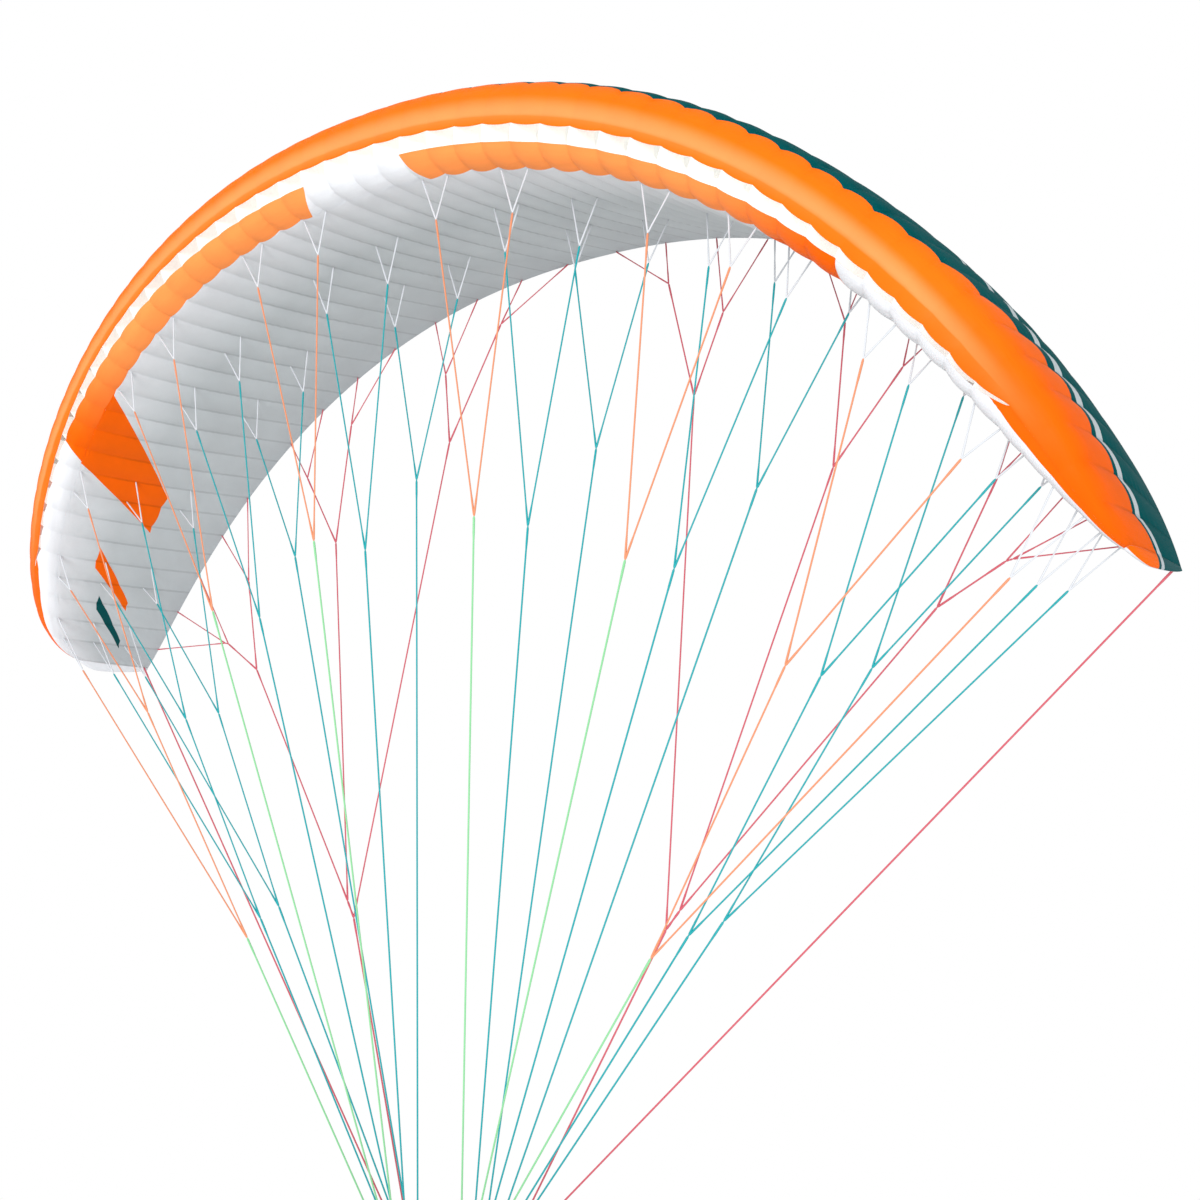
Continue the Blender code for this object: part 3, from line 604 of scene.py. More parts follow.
def puckers(ribs, rows, upper):
    # small gathers that run in from each rib seam and die out in the cell
    random = np.random.default_rng(skins["seed"] + upper)
    phases = random.uniform(0, math.tau, 2 * wing["cells"] + 3)
    swell = random.uniform(*skins["puckerSwell"], 2 * wing["cells"] + 3)
    seam = np.round(ribs).astype(int) + wing["cells"] + 1
    reach = np.abs(ribs - np.round(ribs))
    fade = np.exp(-(reach / skins["puckerReach"]) ** 2) * (
        1 - np.exp(-(reach / skins["puckerSeam"]) ** 2))
    run = clothLength(ribs, rows) / skins["puckerLength"]
    wander, rate = skins["puckerWander"]
    wave = np.sin(run * math.tau + phases[seam] + wander * np.sin(run * rate))
    start, end = skins["puckerEnds"]
    ends = np.clip((rows - 0.1) / start, 0, 1) * np.clip((2.0 - rows) / end, 0, 1)
    return wave * fade * swell[seam] * skins["puckerHeight"] * ends


def clothLength(ribs, rows):
    # metres back from the nose, near enough for the weave and the puckers
    return rows * planAt(np.abs(ribs))[0] * (1 - profile["crestAt"])


def spanLengths(ribs):
    return np.sign(ribs) * wing["halfSpan"] * spanShare(np.abs(ribs))


def closedSheet(name, inner, outer, maps, material):
    # two grids of points and the cut edges between them, with one UV map for each pair of grids
    height, width = inner.shape[:2]
    count = height * width
    low = np.arange(count).reshape(height, width)
    high = low + count
    strips = [
        (high[:-1, :-1], high[:-1, 1:], high[1:, 1:], high[1:, :-1]),
        (low[:-1, :-1], low[1:, :-1], low[1:, 1:], low[:-1, 1:]),
        (low[0, :-1], low[0, 1:], high[0, 1:], high[0, :-1]),
        (low[-1, :-1], high[-1, :-1], high[-1, 1:], low[-1, 1:]),
        (low[:-1, 0], high[:-1, 0], high[1:, 0], low[1:, 0]),
        (low[:-1, -1], low[1:, -1], high[1:, -1], high[:-1, -1]),
    ]
    quads = np.concatenate([np.stack(strip, axis=-1).reshape(-1, 4) for strip in strips])
    places = np.concatenate((inner.reshape(-1, 3), outer.reshape(-1, 3)))
    a, b, c, d = (places[quads[:, i]] - places.mean(axis=0) for i in range(4))
    if (a * (np.cross(b, c) + np.cross(c, d))).sum() < 0:
        quads = quads[:, ::-1]
    paintedInsideLight = np.ones((height, width))
    paintedInsideLight[[0, -1]] = 0  # the hem folded in at the cut edges keeps the cloth's colour, without the painted light
    inside = np.concatenate((paintedInsideLight.reshape(-1), np.zeros(count)))
    mesh = newMesh(name, places.tolist(), faces=quads.tolist(), inside=inside)
    for layer, (across, down) in maps.items():
        uv = mesh.uv_layers.new(name=layer)
        flat = np.stack(np.broadcast_arrays(across, down), axis=-1).reshape(-1, 2)
        flat = np.concatenate((flat, flat))[quads.reshape(-1)]
        uv.data.foreach_set("uv", flat.astype(np.float32).reshape(-1))
    mesh.materials.append(material)
    softEdges(mesh, 50)
    return show(name, mesh)


def columns():
    # rib places from tip to tip, with a finer spacing close to every seam
    last = wing["cells"]
    places = (np.arange(-last, last)[:, None] + np.array(skins["crossings"])[None, :]).reshape(-1)
    return np.clip(np.append(places, last), -last + 1e-4, last - 1e-4)


def makeSkin(name, stations, upper, material, slotName, nodes):
    ribs = columns()
    out = np.abs(ribs)
    rows = stations(out)
    mirror = np.where(ribs < 0, -1.0, 1.0)[:, None] ** (1, 0, 0)
    lift = puckers(ribs, rows, upper)
    inner, outer = (skin(out, rows, upper, offset + lift) * mirror
                    for offset in (panels["gap"], panels["gap"] + panels["cloth"]))
    along, rise = section(rows, upper)
    thing = closedSheet(name, inner, outer, {
        "panel": (ribs + 0 * rows, along),
        "edge": tuple(along - line(out) for line in (stripeShare, breakShare)),
        "weave": (spanLengths(ribs), clothLength(ribs, rows)),
    }, material)
    keep(thing, slotName, *nodes)
    run = np.hypot(np.diff(along, axis=0), np.diff(rise, axis=0)).sum(axis=0) * planAt(out)[0]
    float(np.trapz(run, spanLengths(ribs))) * panels["fullness"]


def tipCap(name, side, material, slotName, node):
    # the rounded end of the canopy, from the upper edge round to the lower
    last = np.array([wing["cells"] - 1e-6])
    stations = 2 * np.linspace(0, 1, skins["tipRows"])[:, None] ** skins["tipPower"]
    lowest = np.maximum(stations, bandStations(last)[0, 0])
    turns = np.linspace(0, math.pi, skins["tipColumns"])[None, :, None]
    slope = arcSlope(wing["cells"])
    away = np.array(Vector((math.cos(slope), 0, -math.sin(slope))))
    deepest = np.linalg.norm(skin(last, 1.0, True) - skin(last, 1.0, False))
    along = section(stations, True)[0]
    grown = np.minimum(along / panels["tipFront"], 1)
    dome = panels["tipDome"] * (1 - (1 - grown) ** 2)[..., None]
    grids = []
    for depth in (0.0, panels["cloth"]):
        top = skin(last[None, :], stations, True, panels["gap"] + depth)
        low = skin(last[None, :], lowest, False, panels["gap"] + depth)
        half = (top - low) / 2
        thick = np.linalg.norm(half, axis=-1, keepdims=True)
        bulge = dome * np.sqrt(np.minimum(2 * thick / deepest, 1.0)) + depth
        grid = (top + low) / 2 + half * np.cos(turns) + away * (
            1.5 * panels["gap"] + bulge * np.sin(turns))
        grids.append(grid * np.array((side, 1.0, 1.0)))
    steps = np.linalg.norm(np.diff(grids[1], axis=1), axis=-1)
    around = np.concatenate((0 * steps[:, :1], np.cumsum(steps, axis=1)), axis=1)
    chordShare = along + 0 * around
    chord = float(planAt(last)[0][0])
    share = np.linspace(0.02, 0.98, around.shape[1])[None, :] + 0 * around
    thing = closedSheet(name, *grids, {
        "panel": (side * (wing["cells"] + share), chordShare),
        "edge": tuple(chordShare - float(line(last)[0]) for line in (stripeShare, breakShare)),
        "weave": (around, chordShare * chord),
    }, material)
    keep(thing, slotName, node)
    girth, full = around[:, -1], panels["tipFullness"]
    float(np.trapz(girth, chordShare[:, 0] * chord)) * full


# ---- ribs, cut with crossports and set out along the arc

ribPlan = {
    "thick": 0.0008,
    "rear": 1.97,  # station where the outline stops short of the trailing edge
    "points": (34, 30),  # in the upper and the lower edge
    "ports": [  # place along the chord, half length, half height
        (0.115, 0.026, 0.040), (0.215, 0.026, 0.043), (0.320, 0.026, 0.040),
        (0.430, 0.026, 0.034), (0.540, 0.024, 0.026), (0.650, 0.020, 0.018),
    ],
    "portSides": 20,
    "tipInset": 0.004,  # the outer ribs are this much smaller, to stay under the cloth
}


def unitRib():
    # outline and crossports of a rib with a chord of one metre, in the Y-Z plane
    top, low = (section(np.linspace(0, ribPlan["rear"], count), upper)
                for count, upper in zip(ribPlan["points"], (True, False)))
    loops = [list(zip(*top)) + list(zip(*low))[:0:-1]]
    turns = [n * math.tau / ribPlan["portSides"] for n in range(ribPlan["portSides"])]
    for at, wide, high in ribPlan["ports"]:
        station = stationOf(max(at, profile["crestAt"] + 0.001))
        middle = 0.5 * (section(station, True)[1] + section(station, False)[1])
        loops.append([(at + wide * math.cos(t), middle + high * math.sin(t)) for t in turns])
    return loops


def geometryTree(name, inputs):
    # every named input starts from the value given; None stands for an object
    kinds = {float: "NodeSocketFloat", int: "NodeSocketInt"}
    tree = bpy.data.node_groups.new(name, "GeometryNodeTree")
    for way in ("INPUT", "OUTPUT"):
        tree.interface.new_socket("Geometry", in_out=way, socket_type="NodeSocketGeometry")
    for label, value in inputs.items():
        socket = tree.interface.new_socket(
            label, in_out="INPUT", socket_type=kinds.get(type(value), "NodeSocketObject"))
        if value is not None:
            socket.default_value = value
    add = partial(addNode, tree)
    return add, add("NodeGroupInput").outputs


def finishTree(add, geometry, material):
    solid = add("RealizeInstances", {0: geometry})
    painted = add("SetMaterial", {"Geometry": solid, "Material": material})
    return add("NodeGroupOutput", {0: painted}).id_data


def plainMesh(thing):
    made = bpy.data.meshes.new_from_object(
        thing.evaluated_get(bpy.context.evaluated_depsgraph_get()))
    bpy.data.objects.remove(thing)
    return made


def runTree(name, mesh, tree, values, soft=40):
    # evaluates the tree once and keeps its result as a plain mesh
    seed = show(name + "Seed", mesh)
    nodes = seed.modifiers.new("build", "NODES")
    nodes.node_group = tree
    for socket in tree.interface.items_tree:
        if socket.name in values:
            nodes[socket.identifier] = values[socket.name]
    made = plainMesh(seed)
    made.name = name
    if soft:
        softEdges(made, soft)
    return show(name, made)


def ribMesh():
    # one rib pattern as a flat plate with a chord of one metre
    curve = bpy.data.curves.new("ribPattern", "CURVE")
    curve.dimensions = "2D"
    curve.fill_mode = "BOTH"
    for loop in unitRib():
        spline = curve.splines.new("POLY")
        spline.points.add(len(loop) - 1)
        for spot, (along, rise) in zip(spline.points, loop):
            spot.co = (along, rise, 0, 1)
        spline.use_cyclic_u = True
    flat = plainMesh(show("ribPattern", curve))
    flat.transform(Matrix(((0, 0, 1, 0), (1, 0, 0, 0), (0, 1, 0, 0), (0, 0, 0, 1))))
    return flat


def ribTree(material):
    add, given = geometryTree("set out ribs", {"Pattern": None, "Thickness": ribPlan["thick"]})
    pattern = add("ObjectInfo", {
        "Object": given["Pattern"], "As Instance": False}).outputs["Geometry"]
    plate = add("ExtrudeMesh", {
        "Mesh": pattern, "Offset Scale": given["Thickness"], "Individual": False})
    # an extruded plate has no back, so the pattern itself closes it
    both = add("JoinGeometry", {0: plate})
    feed(both, {0: add("FlipFaces", {0: pattern})})
    closed = add("MergeByDistance", {"Geometry": both, "Distance": 1e-5})
    turn, size = (add("InputNamedAttribute", {"Name": label}, data_type="FLOAT_VECTOR")
                  for label in ("turn", "size"))
    place = add("InstanceOnPoints", {
        "Points": given["Geometry"], "Instance": closed, "Rotation": turn, "Scale": size})
    return finishTree(add, place, material)


def makeRibs(material):
    pattern = show("ribPattern", ribMesh())
    places, turns, sizes = [], [], []
    for rib in range(-wing["cells"] + 1, wing["cells"]):
        out, side = abs(rib), -1 if rib < 0 else 1
        chord, sweep = planAt(out)
        x, z = arcPlace(out)
        inset = 1 - ribPlan["tipInset"] * (spanShare(out) ** 8)
        places.append((side * x, wing["noseY"] + sweep, wing["noseZ"] + z))
        turns.append((0, side * arcSlope(out), 0))
        sizes.append((1, chord * inset, chord * pinchAt(out) * inset))
    mesh = newMesh("ribPlaces", places, turn=turns, size=sizes)
    thing = runTree("ribs", mesh, ribTree(material), {"Pattern": pattern}, soft=0)
    bpy.data.objects.remove(pattern)
    mesh = thing.data
    places = np.empty(len(mesh.vertices) * 3, dtype=np.float32)
    corners = np.empty(len(mesh.loops), dtype=np.int32)
    mesh.vertices.foreach_get("co", places)
    mesh.loops.foreach_get("vertex_index", corners)
    mesh.uv_layers.new(name="weave").data.foreach_set(
        "uv", places.reshape(-1, 3)[corners][:, 1:].reshape(-1))
    keep(thing, "white_ripstop", *bothSides("ribs"))


makeRibs(ribCloth)
makeSkin("noseCloth", noseStations, True, orangeCloth, "orange_ripstop", bothSides("nose_cloth"))
makeSkin("upperCloth", rearStations, True, upperCloth, "teal_ripstop", bothSides("upper_cloth"))
makeSkin("frontBand", bandStations, False, lowerCloth, "orange_ripstop",
         bothSides("front_band", "front_tip") + ["front_centre"])
makeSkin("lowerCloth", bellyStations, False, lowerCloth, "grey_ripstop", bothSides("lower_cloth"))
for word, side in sides.items():
    tipCap(word + "TipCap", side, tipCloth, "teal_ripstop", "tip_cap_" + word)
print("canopy is set out")

# ---- suspension lines

rigging = {
    "upper": 0.0078,  # diameters: braid of 1 to 2 mm, drawn full so that it shows
    "middle": 0.0096,
    "main": 0.0108,
    "sides": 7,
    "sewn": 0.004,  # line ends stand this far off the lower cloth
    "tipDrop": 0.45,
    "lowShift": (-0.09, -0.02, 0.08),
    "riserX": 0.25,
    "linkZ": 0.50,
    "spread": 0.0088,  # between two lines on one link
    "spliceLength": 0.09,
    "spliceSwell": 1.30,
    "spliceEye": 0.012,
    "rows": {
        "a": {"chord": 0.090, "drop": 0.240, "linkY": -0.070, "fork": 0.720, "outer": 0.740,
              "low": 0.510, "lean": 0.030, "main": "greenLine", "middle": "salmonLine"},
        "b": {"chord": 0.360, "drop": 0.280, "linkY": 0.000, "fork": 0.725, "outer": 0.740,
              "low": 0.545, "lean": 0.042, "main": "tealLine", "middle": "tealLine"},
        "c": {"chord": 0.655, "drop": 0.270, "linkY": 0.070, "fork": 0.808, "outer": 0.750,
              "low": 0.560, "lean": 0.070, "main": "tealLine", "middle": "tealLine"},
    },
    "forkRibs": [(2, 3), (5, 6), (10, 11), (13, 14), (18, 19), (22, 23), (25, 26)],
}
brakes = {
    "handleTop": (0.25, 0.096, 0.30),
    "ring": (0.25, 0.094, 0.40),
    "main": (1.28, 0.42, 2.52),
    "outerShift": 0.12,
    "outerAside": 0.03,
    "splitLength": 0.04,
    "station": 1.985,  # where the twigs are sewn to the trailing edge
    "tipStation": 1.93,  # and the tip line to the tip
    "fans": [  # fork above the main line, then its two twigs and their ribs
        ((1.05, 0.92, 5.75), [((0.73, 1.06, 6.57), (1, 3)), ((1.20, 1.01, 6.28), (5, 7))]),
        ((2.10, 0.86, 5.15), [((2.11, 0.97, 6.04), (9, 11)), ((2.52, 0.93, 5.69), (13, 15))]),
        ((2.81, 0.78, 4.27), [((3.11, 0.91, 4.97), (18, 20)),
                              ((3.20, 0.82, 4.49), (22, 24, 26))]),
    ],
}
braidLook = {
    "pitch": 0.012,  # real pick is 2 mm, drawn six times coarser
    "turns": 3.0,
    "shade": {"From Min": -1.0, "From Max": 1.0, "To Min": 0.86, "To Max": 1.06},
    "bump": (0.4, 0.0004),
}


def sewnTop(rib, station):
    return Vector(skin(rib, station, False, rigging["sewn"]))


def linkPlace(row):
    return Vector((rigging["riserX"], rigging["rows"][row]["linkY"], rigging["linkZ"]))


def rowLines(row):
    # strands of one row on one side: start, end, thickness, tint
    size, link = rigging["rows"][row], linkPlace(row)
    station = stationOf(size["chord"])
    strands, apexes = [], []
    for pair in rigging["forkRibs"]:
        tops = [sewnTop(rib, station) for rib in pair]
        middle = (tops[0] + tops[1]) / 2
        drop = rigging["tipDrop"] if pair == rigging["forkRibs"][-1] else size["drop"]
        apex = middle + (link - middle).normalized() * drop
        strands += [(apex, top, "upper", "whiteLine") for top in tops]
        apexes.append(apex)
    first = 1.5 if row == "c" else 1.0

    def hang(number, place):
        foot = link + Vector(((number - first) * rigging["spread"], 0, 0))
        strands.append((foot, place, "main", size["main"]))

    def fan(place, *ends):
        strands.extend((place, end, "middle", size["middle"]) for end in ends)

    def forkAt(share, ends, shift=(size["lean"], 0, 0)):
        return link.lerp(sum(ends, Vector()) / len(ends), share) + Vector(shift)

    for number in (0, 1):
        ends = apexes[2 * number:2 * number + 2]
        place = forkAt(size["fork"], ends)
        hang(number, place)
        fan(place, *ends)
    outer = forkAt(size["outer"], apexes[4:6])
    low = forkAt(size["low"], [outer, apexes[6]], rigging["lowShift"])
    hang(2, low)
    fan(low, outer)
    fan(outer, *apexes[4:6])
    fan(low, apexes[6])
    return strands


def brakeLines():
    handle, ring, main = (Vector(brakes[key]) for key in ("handleTop", "ring", "main"))
    strands = []

    def draw(start, size, *ends):
        strands.extend((start, end, size, "redLine") for end in ends)

    upward = (main - ring).normalized()
    outer = main + upward * brakes["outerShift"] + Vector((brakes["outerAside"], 0, 0))
    draw(handle, "main", ring)
    draw(ring, "main", main)
    draw(main, "main", outer)
    for number, (place, twigs) in enumerate(brakes["fans"]):
        fork = Vector(place)
        draw(outer if number else main, "middle", fork)
        for twig, held in twigs:
            place = Vector(twig)
            draw(fork, "middle", place)
            tops = [sewnTop(rib, brakes["station"]) for rib in held]
            if len(tops) > 2:
                middle = (tops[1] + tops[2]) / 2
                split = place + (middle - place).normalized() * brakes["splitLength"]
                draw(place, "upper", tops[0], split)
                place, tops = split, tops[1:]
            draw(place, "upper", *tops)
    foot = linkPlace("c") + Vector((1.5 * rigging["spread"], 0, 0))
    draw(foot, "main", sewnTop(wing["cells"] - 1e-4, brakes["tipStation"]))
    return strands


def strandMesh(name, strands):
    # each strand is a chain of points; radius swells where its end is spliced into an eye
    points, edges, radii = [], [], []
    swollen = rigging["spliceSwell"]
    for start, end, size, tint in strands:
        length = (end - start).length
        splice = min(rigging["spliceLength"], length * 0.3)
        eye = min(rigging["spliceEye"], splice / 2)
        stops = [(0.0, 0.7), (eye, swollen), (splice, swollen), (splice * 1.5, 1.0)]
        stops += [(length / 2, 1.0)] + [(length - at, swell) for at, swell in stops[::-1]]
        edges += [(len(points) + n, len(points) + n + 1) for n in range(len(stops) - 1)]
        points += [start.lerp(end, at / length) for at, swell in stops]
        radii += [rigging[size] / 2 * swell for at, swell in stops]
    return newMesh(name, points, edges, thickness=radii)


def sweepTree(add, path, shape, across, material, **more):
    # sweeps a shape along a path and marks both, so that the finish can follow the strand
    length = add("SplineParameter").outputs["Length"]
    path, shape = (add("StoreNamedAttribute", {
        "Geometry": geometry, "Name": label, "Value": value}, data_type="FLOAT", domain="POINT")
        for label, geometry, value in (("along", path, length), ("around", shape, across)))
    band = add("CurveToMesh", {
        "Curve": path, "Profile Curve": shape, "Fill Caps": True, **more})
    return finishTree(add, band, material)


def lineTree(material):
    add, given = geometryTree("braid the lines", {"Sides": rigging["sides"]})
    path = add("MeshToCurve", {"Mesh": given["Geometry"]})
    ring = add("CurvePrimitiveCircle", {"Resolution": given["Sides"], "Radius": 1.0})
    factor = add("SplineParameter").outputs["Factor"]
    thick = add("InputNamedAttribute", {"Name": "thickness"}, data_type="FLOAT")
    return sweepTree(add, path, ring, factor, material, Scale=thick)


def woven(name, tint, look, weaveOf, inputs):
    # a strand shaded and raised by its weave
    material, tree, shader = newMaterial(name, inputs)
    weave = weaveOf(look, *(Term(addNode(tree, "Attribute", attribute_name=axis).outputs["Fac"])
                            for axis in ("along", "around")))
    shade = weave.into("MapRange", "Value", look["shade"])
    surface(shader, tint, shade, weave, *look["bump"])
    return material


def twisted(look, along, around):
    left, right = (((along / look["pitch"] + around * (look["turns"] * hand)) * math.tau).sine()
                   for hand in (1, -1))
    return left.larger(right)


def mirrored(strands):
    flip = Matrix.Diagonal((-1, 1, 1))
    return [(flip @ a, flip @ b, size, tint) for a, b, size, tint in strands]


lineSets = {
    "greenLine": ("green_line", ["line_a1", "line_a2", "line_a3"]),
    "salmonLine": ("green_line", []),
    "tealLine": ("teal_line", [f"line_{row}{i}" for row in "bc" for i in (1, 2, 3)]),
    "whiteLine": ("teal_line", []),
    "redLine": ("red_line", ["brake_line", "tip_line"]),
}
half = [strand for row in rigging["rows"] for strand in rowLines(row)] + brakeLines()
allStrands = half + mirrored(half)
for tint, (slotName, stems) in lineSets.items():
    # polyester sheath over a slick core: matt, with a fine twisted ridge
    braid = woven(tint + " braid", tint, braidLook, twisted, {
        "Roughness": 0.6, "Specular IOR Level": 0.3})
    chosen = [strand for strand in allStrands if strand[3] == tint]
    thing = runTree(tint + "s", strandMesh(tint + "s", chosen), lineTree(braid),
                    {"Sides": rigging["sides"]})
    keep(thing, slotName, *bothSides(*stems))
print("lines are rigged:", len(allStrands), "strands")

# ---- webbing: risers, carabiner loops, brake handles and ring tabs

straps = {
    "width": 0.020,
    "ply": 0.0014,
    "corner": 0.0004,
    "apart": 0.00005,  # between two plies
    "linkRod": 0.005,
    "linkInside": 0.030,
    "linkGap": 0.0008,
    "eye": 0.0039,  # inside radius of a sewn eye round a link's bar
    "eyeTurn": (38, 322),
    "neck": 1.45,  # the faces part this many radii from the eye
    "gather": 4.6 / 70,  # the straps come together to this share at the foot
    "slot": (0.008, 0.022),  # carabiner slot: half across, half tall
    "loopPly": 0.0023,
    "footPly": 0.0032,
    "footLow": 0.0247,
    "footTop": 0.105,
    "sewnLow": 0.034,  # the box of stitches on the foot
    "sewnTop": 0.099,
    "tabWidth": 0.005,
    "tabFoot": 0.0610,
    "tabEye": 0.0032,
    "ringRadius": 0.009,
    "stitch": 0.0030,
    "pitch": 0.0042,
    "thread": 0.00045,
    "hem": 0.0028,  # stitch line to the edge of the webbing
    "proud": 0.0001,  # stitches stand this far off the ply
    "tackRows": 9,  # zigzag of the bar tack under an eye
    "tackStep": 0.004,
}
handleShape = {
    "corners": [((0.0, -0.016), 0.012, 90), ((-0.050, -0.092), 0.016, 210),
                ((0.050, -0.092), 0.016, 330)],
    "bend": 60,  # each corner turns this far either way
    "thick": 0.003,
    "lineGap": 0.0004,
}
threadLook = {"twist": 900.0, "shade": {"To Min": 0.8, "To Max": 1.0}}
steelLook = {
    "grain": {"Scale": 900.0, "Detail": 3.0},
    "wear": {"Scale": 120.0, "Detail": 4.0},
    "roughness": {"To Min": 0.22, "To Max": 0.42},
}
webbingLook = {
    "rib": 0.0016,
    "pick": 0.0012,
    "shade": {"From Min": -1.0, "From Max": 1.0, "To Min": 0.75, "To Max": 1.5},
    "bump": (0.6, 0.0003),
}


def strapPath(side, eye, foot, radius):
    # down one face, round the eye and back up; the path lies in the plane of the riser
    eye, foot, ply = np.array(eye), np.array(foot), straps["ply"]
    along = (foot - eye) / np.linalg.norm(foot - eye)
    across = np.array((-along[1], along[0]))
    turn = np.radians(np.linspace(*straps["eyeTurn"], 25))
    ring = [eye + (along * math.cos(a) + across * math.sin(a)) * (radius + ply / 2) for a in turn]
    neck = eye + along * (radius + ply) * straps["neck"]
    half = across * (ply / 2 + straps["apart"])
    flat = [foot + half, neck + half] + ring + [neck - half, foot - half]
    return [(rigging["riserX"] * side, float(y), float(z)) for y, z in flat]


def stadiumPath(side, grow):
    half, tall = straps["slot"]
    return [(rigging["riserX"] * side, sign * math.cos(turn) * (half + grow),
             sign * (tall - half + math.sin(turn) * (half + grow)))
            for sign in (1, -1) for turn in np.linspace(0, math.pi, 15)]


def handlePath(side, grow, shift=0.0):
    shape = handleShape
    (x, z), radius, facing = shape["corners"][0]
    top = brakes["handleTop"][2] - shape["lineGap"] - z
    top -= (radius + shape["thick"]) * math.cos(math.radians(20))
    path = []
    for (x, z), radius, facing in shape["corners"]:
        for turn in np.linspace(-shape["bend"], shape["bend"], 13):
            angle = math.radians(facing + turn)
            path.append(((rigging["riserX"] + x + math.cos(angle) * (radius + grow)) * side,
                         brakes["handleTop"][1] + shift,
                         top + z + math.sin(angle) * (radius + grow)))
    return path


def pathMesh(name, paths, across):
    # paths are (points, closed); across is the direction of the webbing's width
    points, edges = [], []
    for path, closed in paths:
        first = len(points)
        points += path
        edges += [(i, i + 1) for i in range(first, len(points) - 1)]
        if closed:
            edges.append((len(points) - 1, first))
    return newMesh(name, points, edges, across=[across] * len(points))


def webbingTree(material):
    add, given = geometryTree("lay webbing along a path", {
        "Width": straps["width"], "Ply": straps["ply"], "Corner": straps["corner"]})
    path = add("MeshToCurve", {"Mesh": given["Geometry"]})
    across = add("InputNamedAttribute", {"Name": "across"}, data_type="FLOAT_VECTOR")
    faced = add("SetCurveNormal", {"Curve": path, "Normal": across}, mode="FREE")
    shape = add("CurvePrimitiveQuadrilateral", {
        "Width": given["Width"], "Height": given["Ply"]})
    rounded = add("FilletCurve", {
        "Curve": shape, "Radius": given["Corner"], "Count": 2}, mode="POLY")
    x = add("ShaderNodeSeparateXYZ", {0: add("InputPosition")})
    return sweepTree(add, faced, rounded, x, material)


def stitchTree(material):
    add, given = geometryTree("sew along a path", {
        "Pitch": straps["pitch"], "Stitch": straps["stitch"], "Thread": straps["thread"]})
    path = add("MeshToCurve", {"Mesh": given["Geometry"]})
    steps = add("CurveToPoints", {
        "Curve": path, "Length": given["Pitch"]}, mode="LENGTH").outputs
    turned = add("FunctionNodeAlignRotationToVector", {"Vector": steps["Tangent"]}, axis="Z")
    drop = add("MeshUVSphere", {"Segments": 6, "Rings": 4, "Radius": 1.0})
    thin = add("ShaderNodeCombineXYZ", {
        0: given["Thread"], 1: given["Thread"], 2: Term(given["Stitch"]) * 0.5})
    sewn = add("InstanceOnPoints", {
        "Points": steps["Points"], "Instance": drop, "Rotation": turned, "Scale": thin})
    return finishTree(add, sewn, material)


def crossed(look, along, around):
    return (around * (math.tau / look["rib"])).sine() * (along * (math.tau / look["pick"])).sine()


def sewingThread():
    # bonded polyester thread with a low gloss
    material, tree, shader = newMaterial("pale sewing thread", {"Roughness": 0.5})
    place = addNode(tree, "TexCoord").outputs["Object"]
    twist = addNode(tree, "TexWave", {"Vector": place, "Scale": threadLook["twist"]})
    surface(shader, "thread", Term(twist.outputs["Fac"]).into(
        "MapRange", "Value", threadLook["shade"]))
    return material


def stainlessSteel():
    # tumbled stainless steel: bright, with a soft grain and faint wear
    material, tree, shader = newMaterial("tumbled stainless steel", {
        "Base Color": linear(tints["steel"]), "Metallic": 1.0})
    place = addNode(tree, "TexCoord").outputs["Object"]
    grain, wear = (addNode(tree, "TexNoise", {
        "Vector": place, **steelLook[key]}).outputs[0] for key in ("grain", "wear"))
    bump = addNode(tree, "Bump", {"Height": grain, "Strength": 0.15, "Distance": 0.0001})
    rough = Term(wear).into("MapRange", "Value", steelLook["roughness"])
    feed(shader, {"Roughness": rough, "Normal": bump})
    return material


def riserPieces(side):
    # straps, loop, tab and handle of one side as (name, paths, across, width, ply), and seams
    slot, foot, ply, width = (straps[key] for key in ("loopPly", "footPly", "ply", "width"))
    ahead, beside = (1.0, 0.0, 0.0), (0.0, 1.0, 0.0)
    x = rigging["riserX"] * side
    made, seams = [], []
    bar = rigging["linkZ"] - straps["linkGap"] - straps["linkRod"] * 1.5 - straps["linkInside"]
    for row, size in rigging["rows"].items():
        low = (size["linkY"] * straps["gather"], straps["footTop"] + 0.0004)
        path = strapPath(side, (size["linkY"], bar), low, straps["eye"])
        made.append(("riser_" + row, [(path, False)], ahead, width, ply))
        seams += strapSeams(path)
    paths = [(stadiumPath(side, slot * (n + 0.5) + straps["apart"] * n), True) for n in (0, 1)]
    for n in range(4):
        y = (n - 1.5) * (foot + 2 * straps["apart"])
        paths.append(([(x, y, straps["footLow"]), (x, y, straps["footTop"])], False))
    made.append(("carabiner_loop", paths, ahead, width, slot))
    seams += footSeams(x, 2 * foot + 0.0003)
    aside, high = brakes["ring"][1:]
    path = strapPath(side, (aside - straps["ringRadius"] - 0.0003, high),
                     (straps["tabFoot"], high), straps["tabEye"])
    made.append(("brake_tab", [(path, False)], ahead, straps["tabWidth"], ply))
    paths = [(handlePath(side, (ply + straps["apart"]) * (n + 0.5) + straps["proud"]), True)
             for n in (0, 1)]
    made.append(("brake_handle", paths, beside, width, ply))
    seams += [(handlePath(side, handleShape["thick"] + straps["proud"], sign * (
        width / 2 - straps["hem"])), True) for sign in (-1, 1)]
    return made, seams


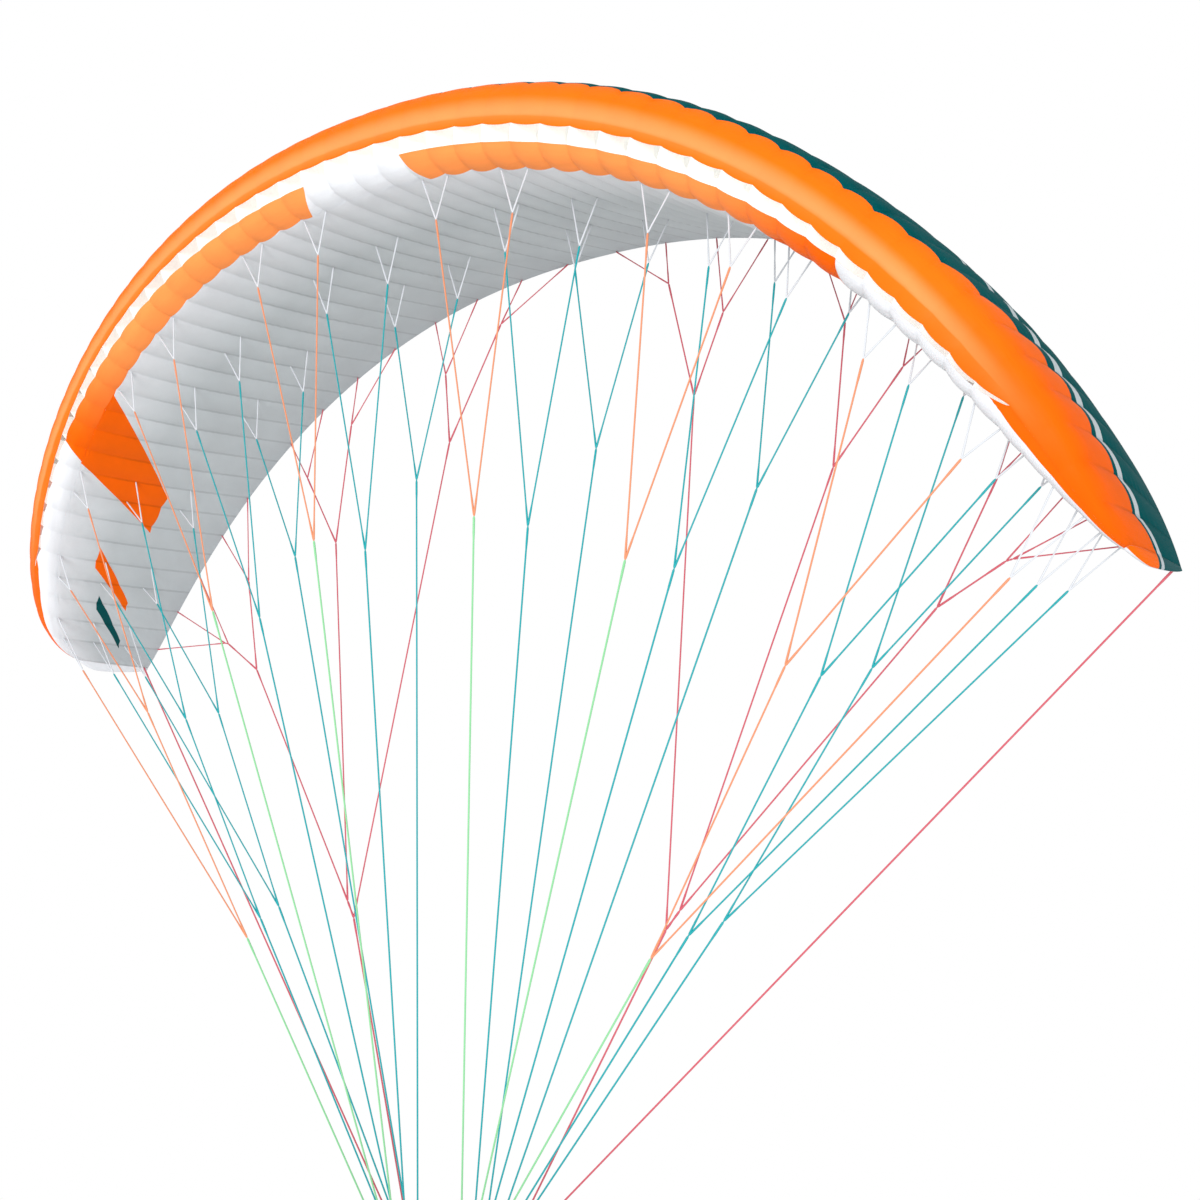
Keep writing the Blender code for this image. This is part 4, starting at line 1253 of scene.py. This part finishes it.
def strapSeams(path):
    # a line of stitches near each edge of both faces, and a bar tack under the eye
    foot, neck, rearNeck, rearFoot = (np.array(path[n]) for n in (0, 1, -2, -1))
    outward = (foot - rearFoot) / np.linalg.norm(foot - rearFoot)
    half, hem = straps["width"] / 2, straps["hem"]
    seams = []
    for a, b, sign in ((foot, neck, 1), (rearFoot, rearNeck, -1)):
        run = b - a
        face = outward * sign * (straps["ply"] / 2 + straps["proud"])
        for edge in (-1, 1):
            rim = np.array((edge * (half - hem), 0, 0))
            seams.append(([tuple(a + run * t + face + rim) for t in (0.02, 0.985)], False))
        seams.append(([tuple(b - run * (0.02 + straps["tackStep"] * n) + face + np.array((
            (-1) ** n * (half - hem * 1.6), 0, 0))) for n in range(straps["tackRows"])], False))
    return seams


def footSeams(x, out):
    # a sewn box with its cross on both faces of the foot
    half, low, high = straps["width"] / 2 - straps["hem"], straps["sewnLow"], straps["sewnTop"]
    seams = []
    for y in (-out, out):
        a, b, c, d = ((x - half, y, low), (x + half, y, low), (x + half, y, high),
                      (x - half, y, high))
        seams += [([a, b, c, d], True), ([a, c], False), ([b, d], False)]
    return seams


# flat woven webbing: matt black with fine lengthwise ribs that catch the light
webbing = woven("black polyester webbing", "webbing", webbingLook, crossed, {
    "Roughness": 0.75, "Sheen Weight": 0.15})
bandTree, sewTree, steel = webbingTree(webbing), stitchTree(sewingThread()), stainlessSteel()
for word, side in sides.items():
    made, seams = riserPieces(side)
    for name, paths, across, width, ply in made:
        thing = runTree(name + "_cloth_" + word, pathMesh(name, paths, across), bandTree,
                        {"Width": width, "Ply": ply, "Corner": straps["corner"]}, soft=50)
        keep(thing, "black_webbing", name + "_" + word)
    thing = runTree("stitches_" + word, pathMesh("stitches", seams, (1.0, 0.0, 0.0)), sewTree,
                    {"Pitch": straps["pitch"]})
    keep(thing, "black_webbing")
    for name in ("link_a", "link_b", "link_c", "brake_ring"):
        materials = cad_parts[name + "_" + word].data.materials
        materials.clear()
        materials.append(steel)
print("risers and handles are sewn")

# ---- floor and light

stage = {
    "world": "FFFFFF",
    "worldPower": 1.0,
    "sunPower": 3.2,
    "sunAngle": math.radians(20),
    "sunFrom": (0.45, -1.0, -0.12),
    "floorZ": -0.60,
    "floorRadius": 9.0,
    "floorSides": 96,
}


def stageFloor():
    count, wide = stage["floorSides"], stage["floorRadius"]
    turns = [n * math.tau / count for n in range(count)]
    mesh = newMesh("floor", [
        (wide * math.cos(t), wide * math.sin(t), stage["floorZ"]) for t in turns],
        faces=[tuple(range(count))])
    mesh.materials.append(newMaterial("matt studio floor", {
        "Base Color": linear(tints["floor"]), "Roughness": 0.9})[0])
    show("floor", mesh)


def lightScene():
    world = bpy.data.worlds.new("studio")
    world.use_nodes = True
    feed(world.node_tree.nodes["Background"], {
        "Color": linear(stage["world"]), "Strength": stage["worldPower"]})
    scene.world = world
    sun = bpy.data.lights.new("sun", "SUN")
    sun.energy = stage["sunPower"]
    sun.angle = stage["sunAngle"]
    show("sun", sun).rotation_euler = Vector(stage["sunFrom"]).to_track_quat("Z", "Y").to_euler()
    scene.view_settings.view_transform = "Standard"


stageFloor()
lightScene()

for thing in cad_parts.values():
    if not thing.hide_render:
        print("plain node still showing:", thing.name)
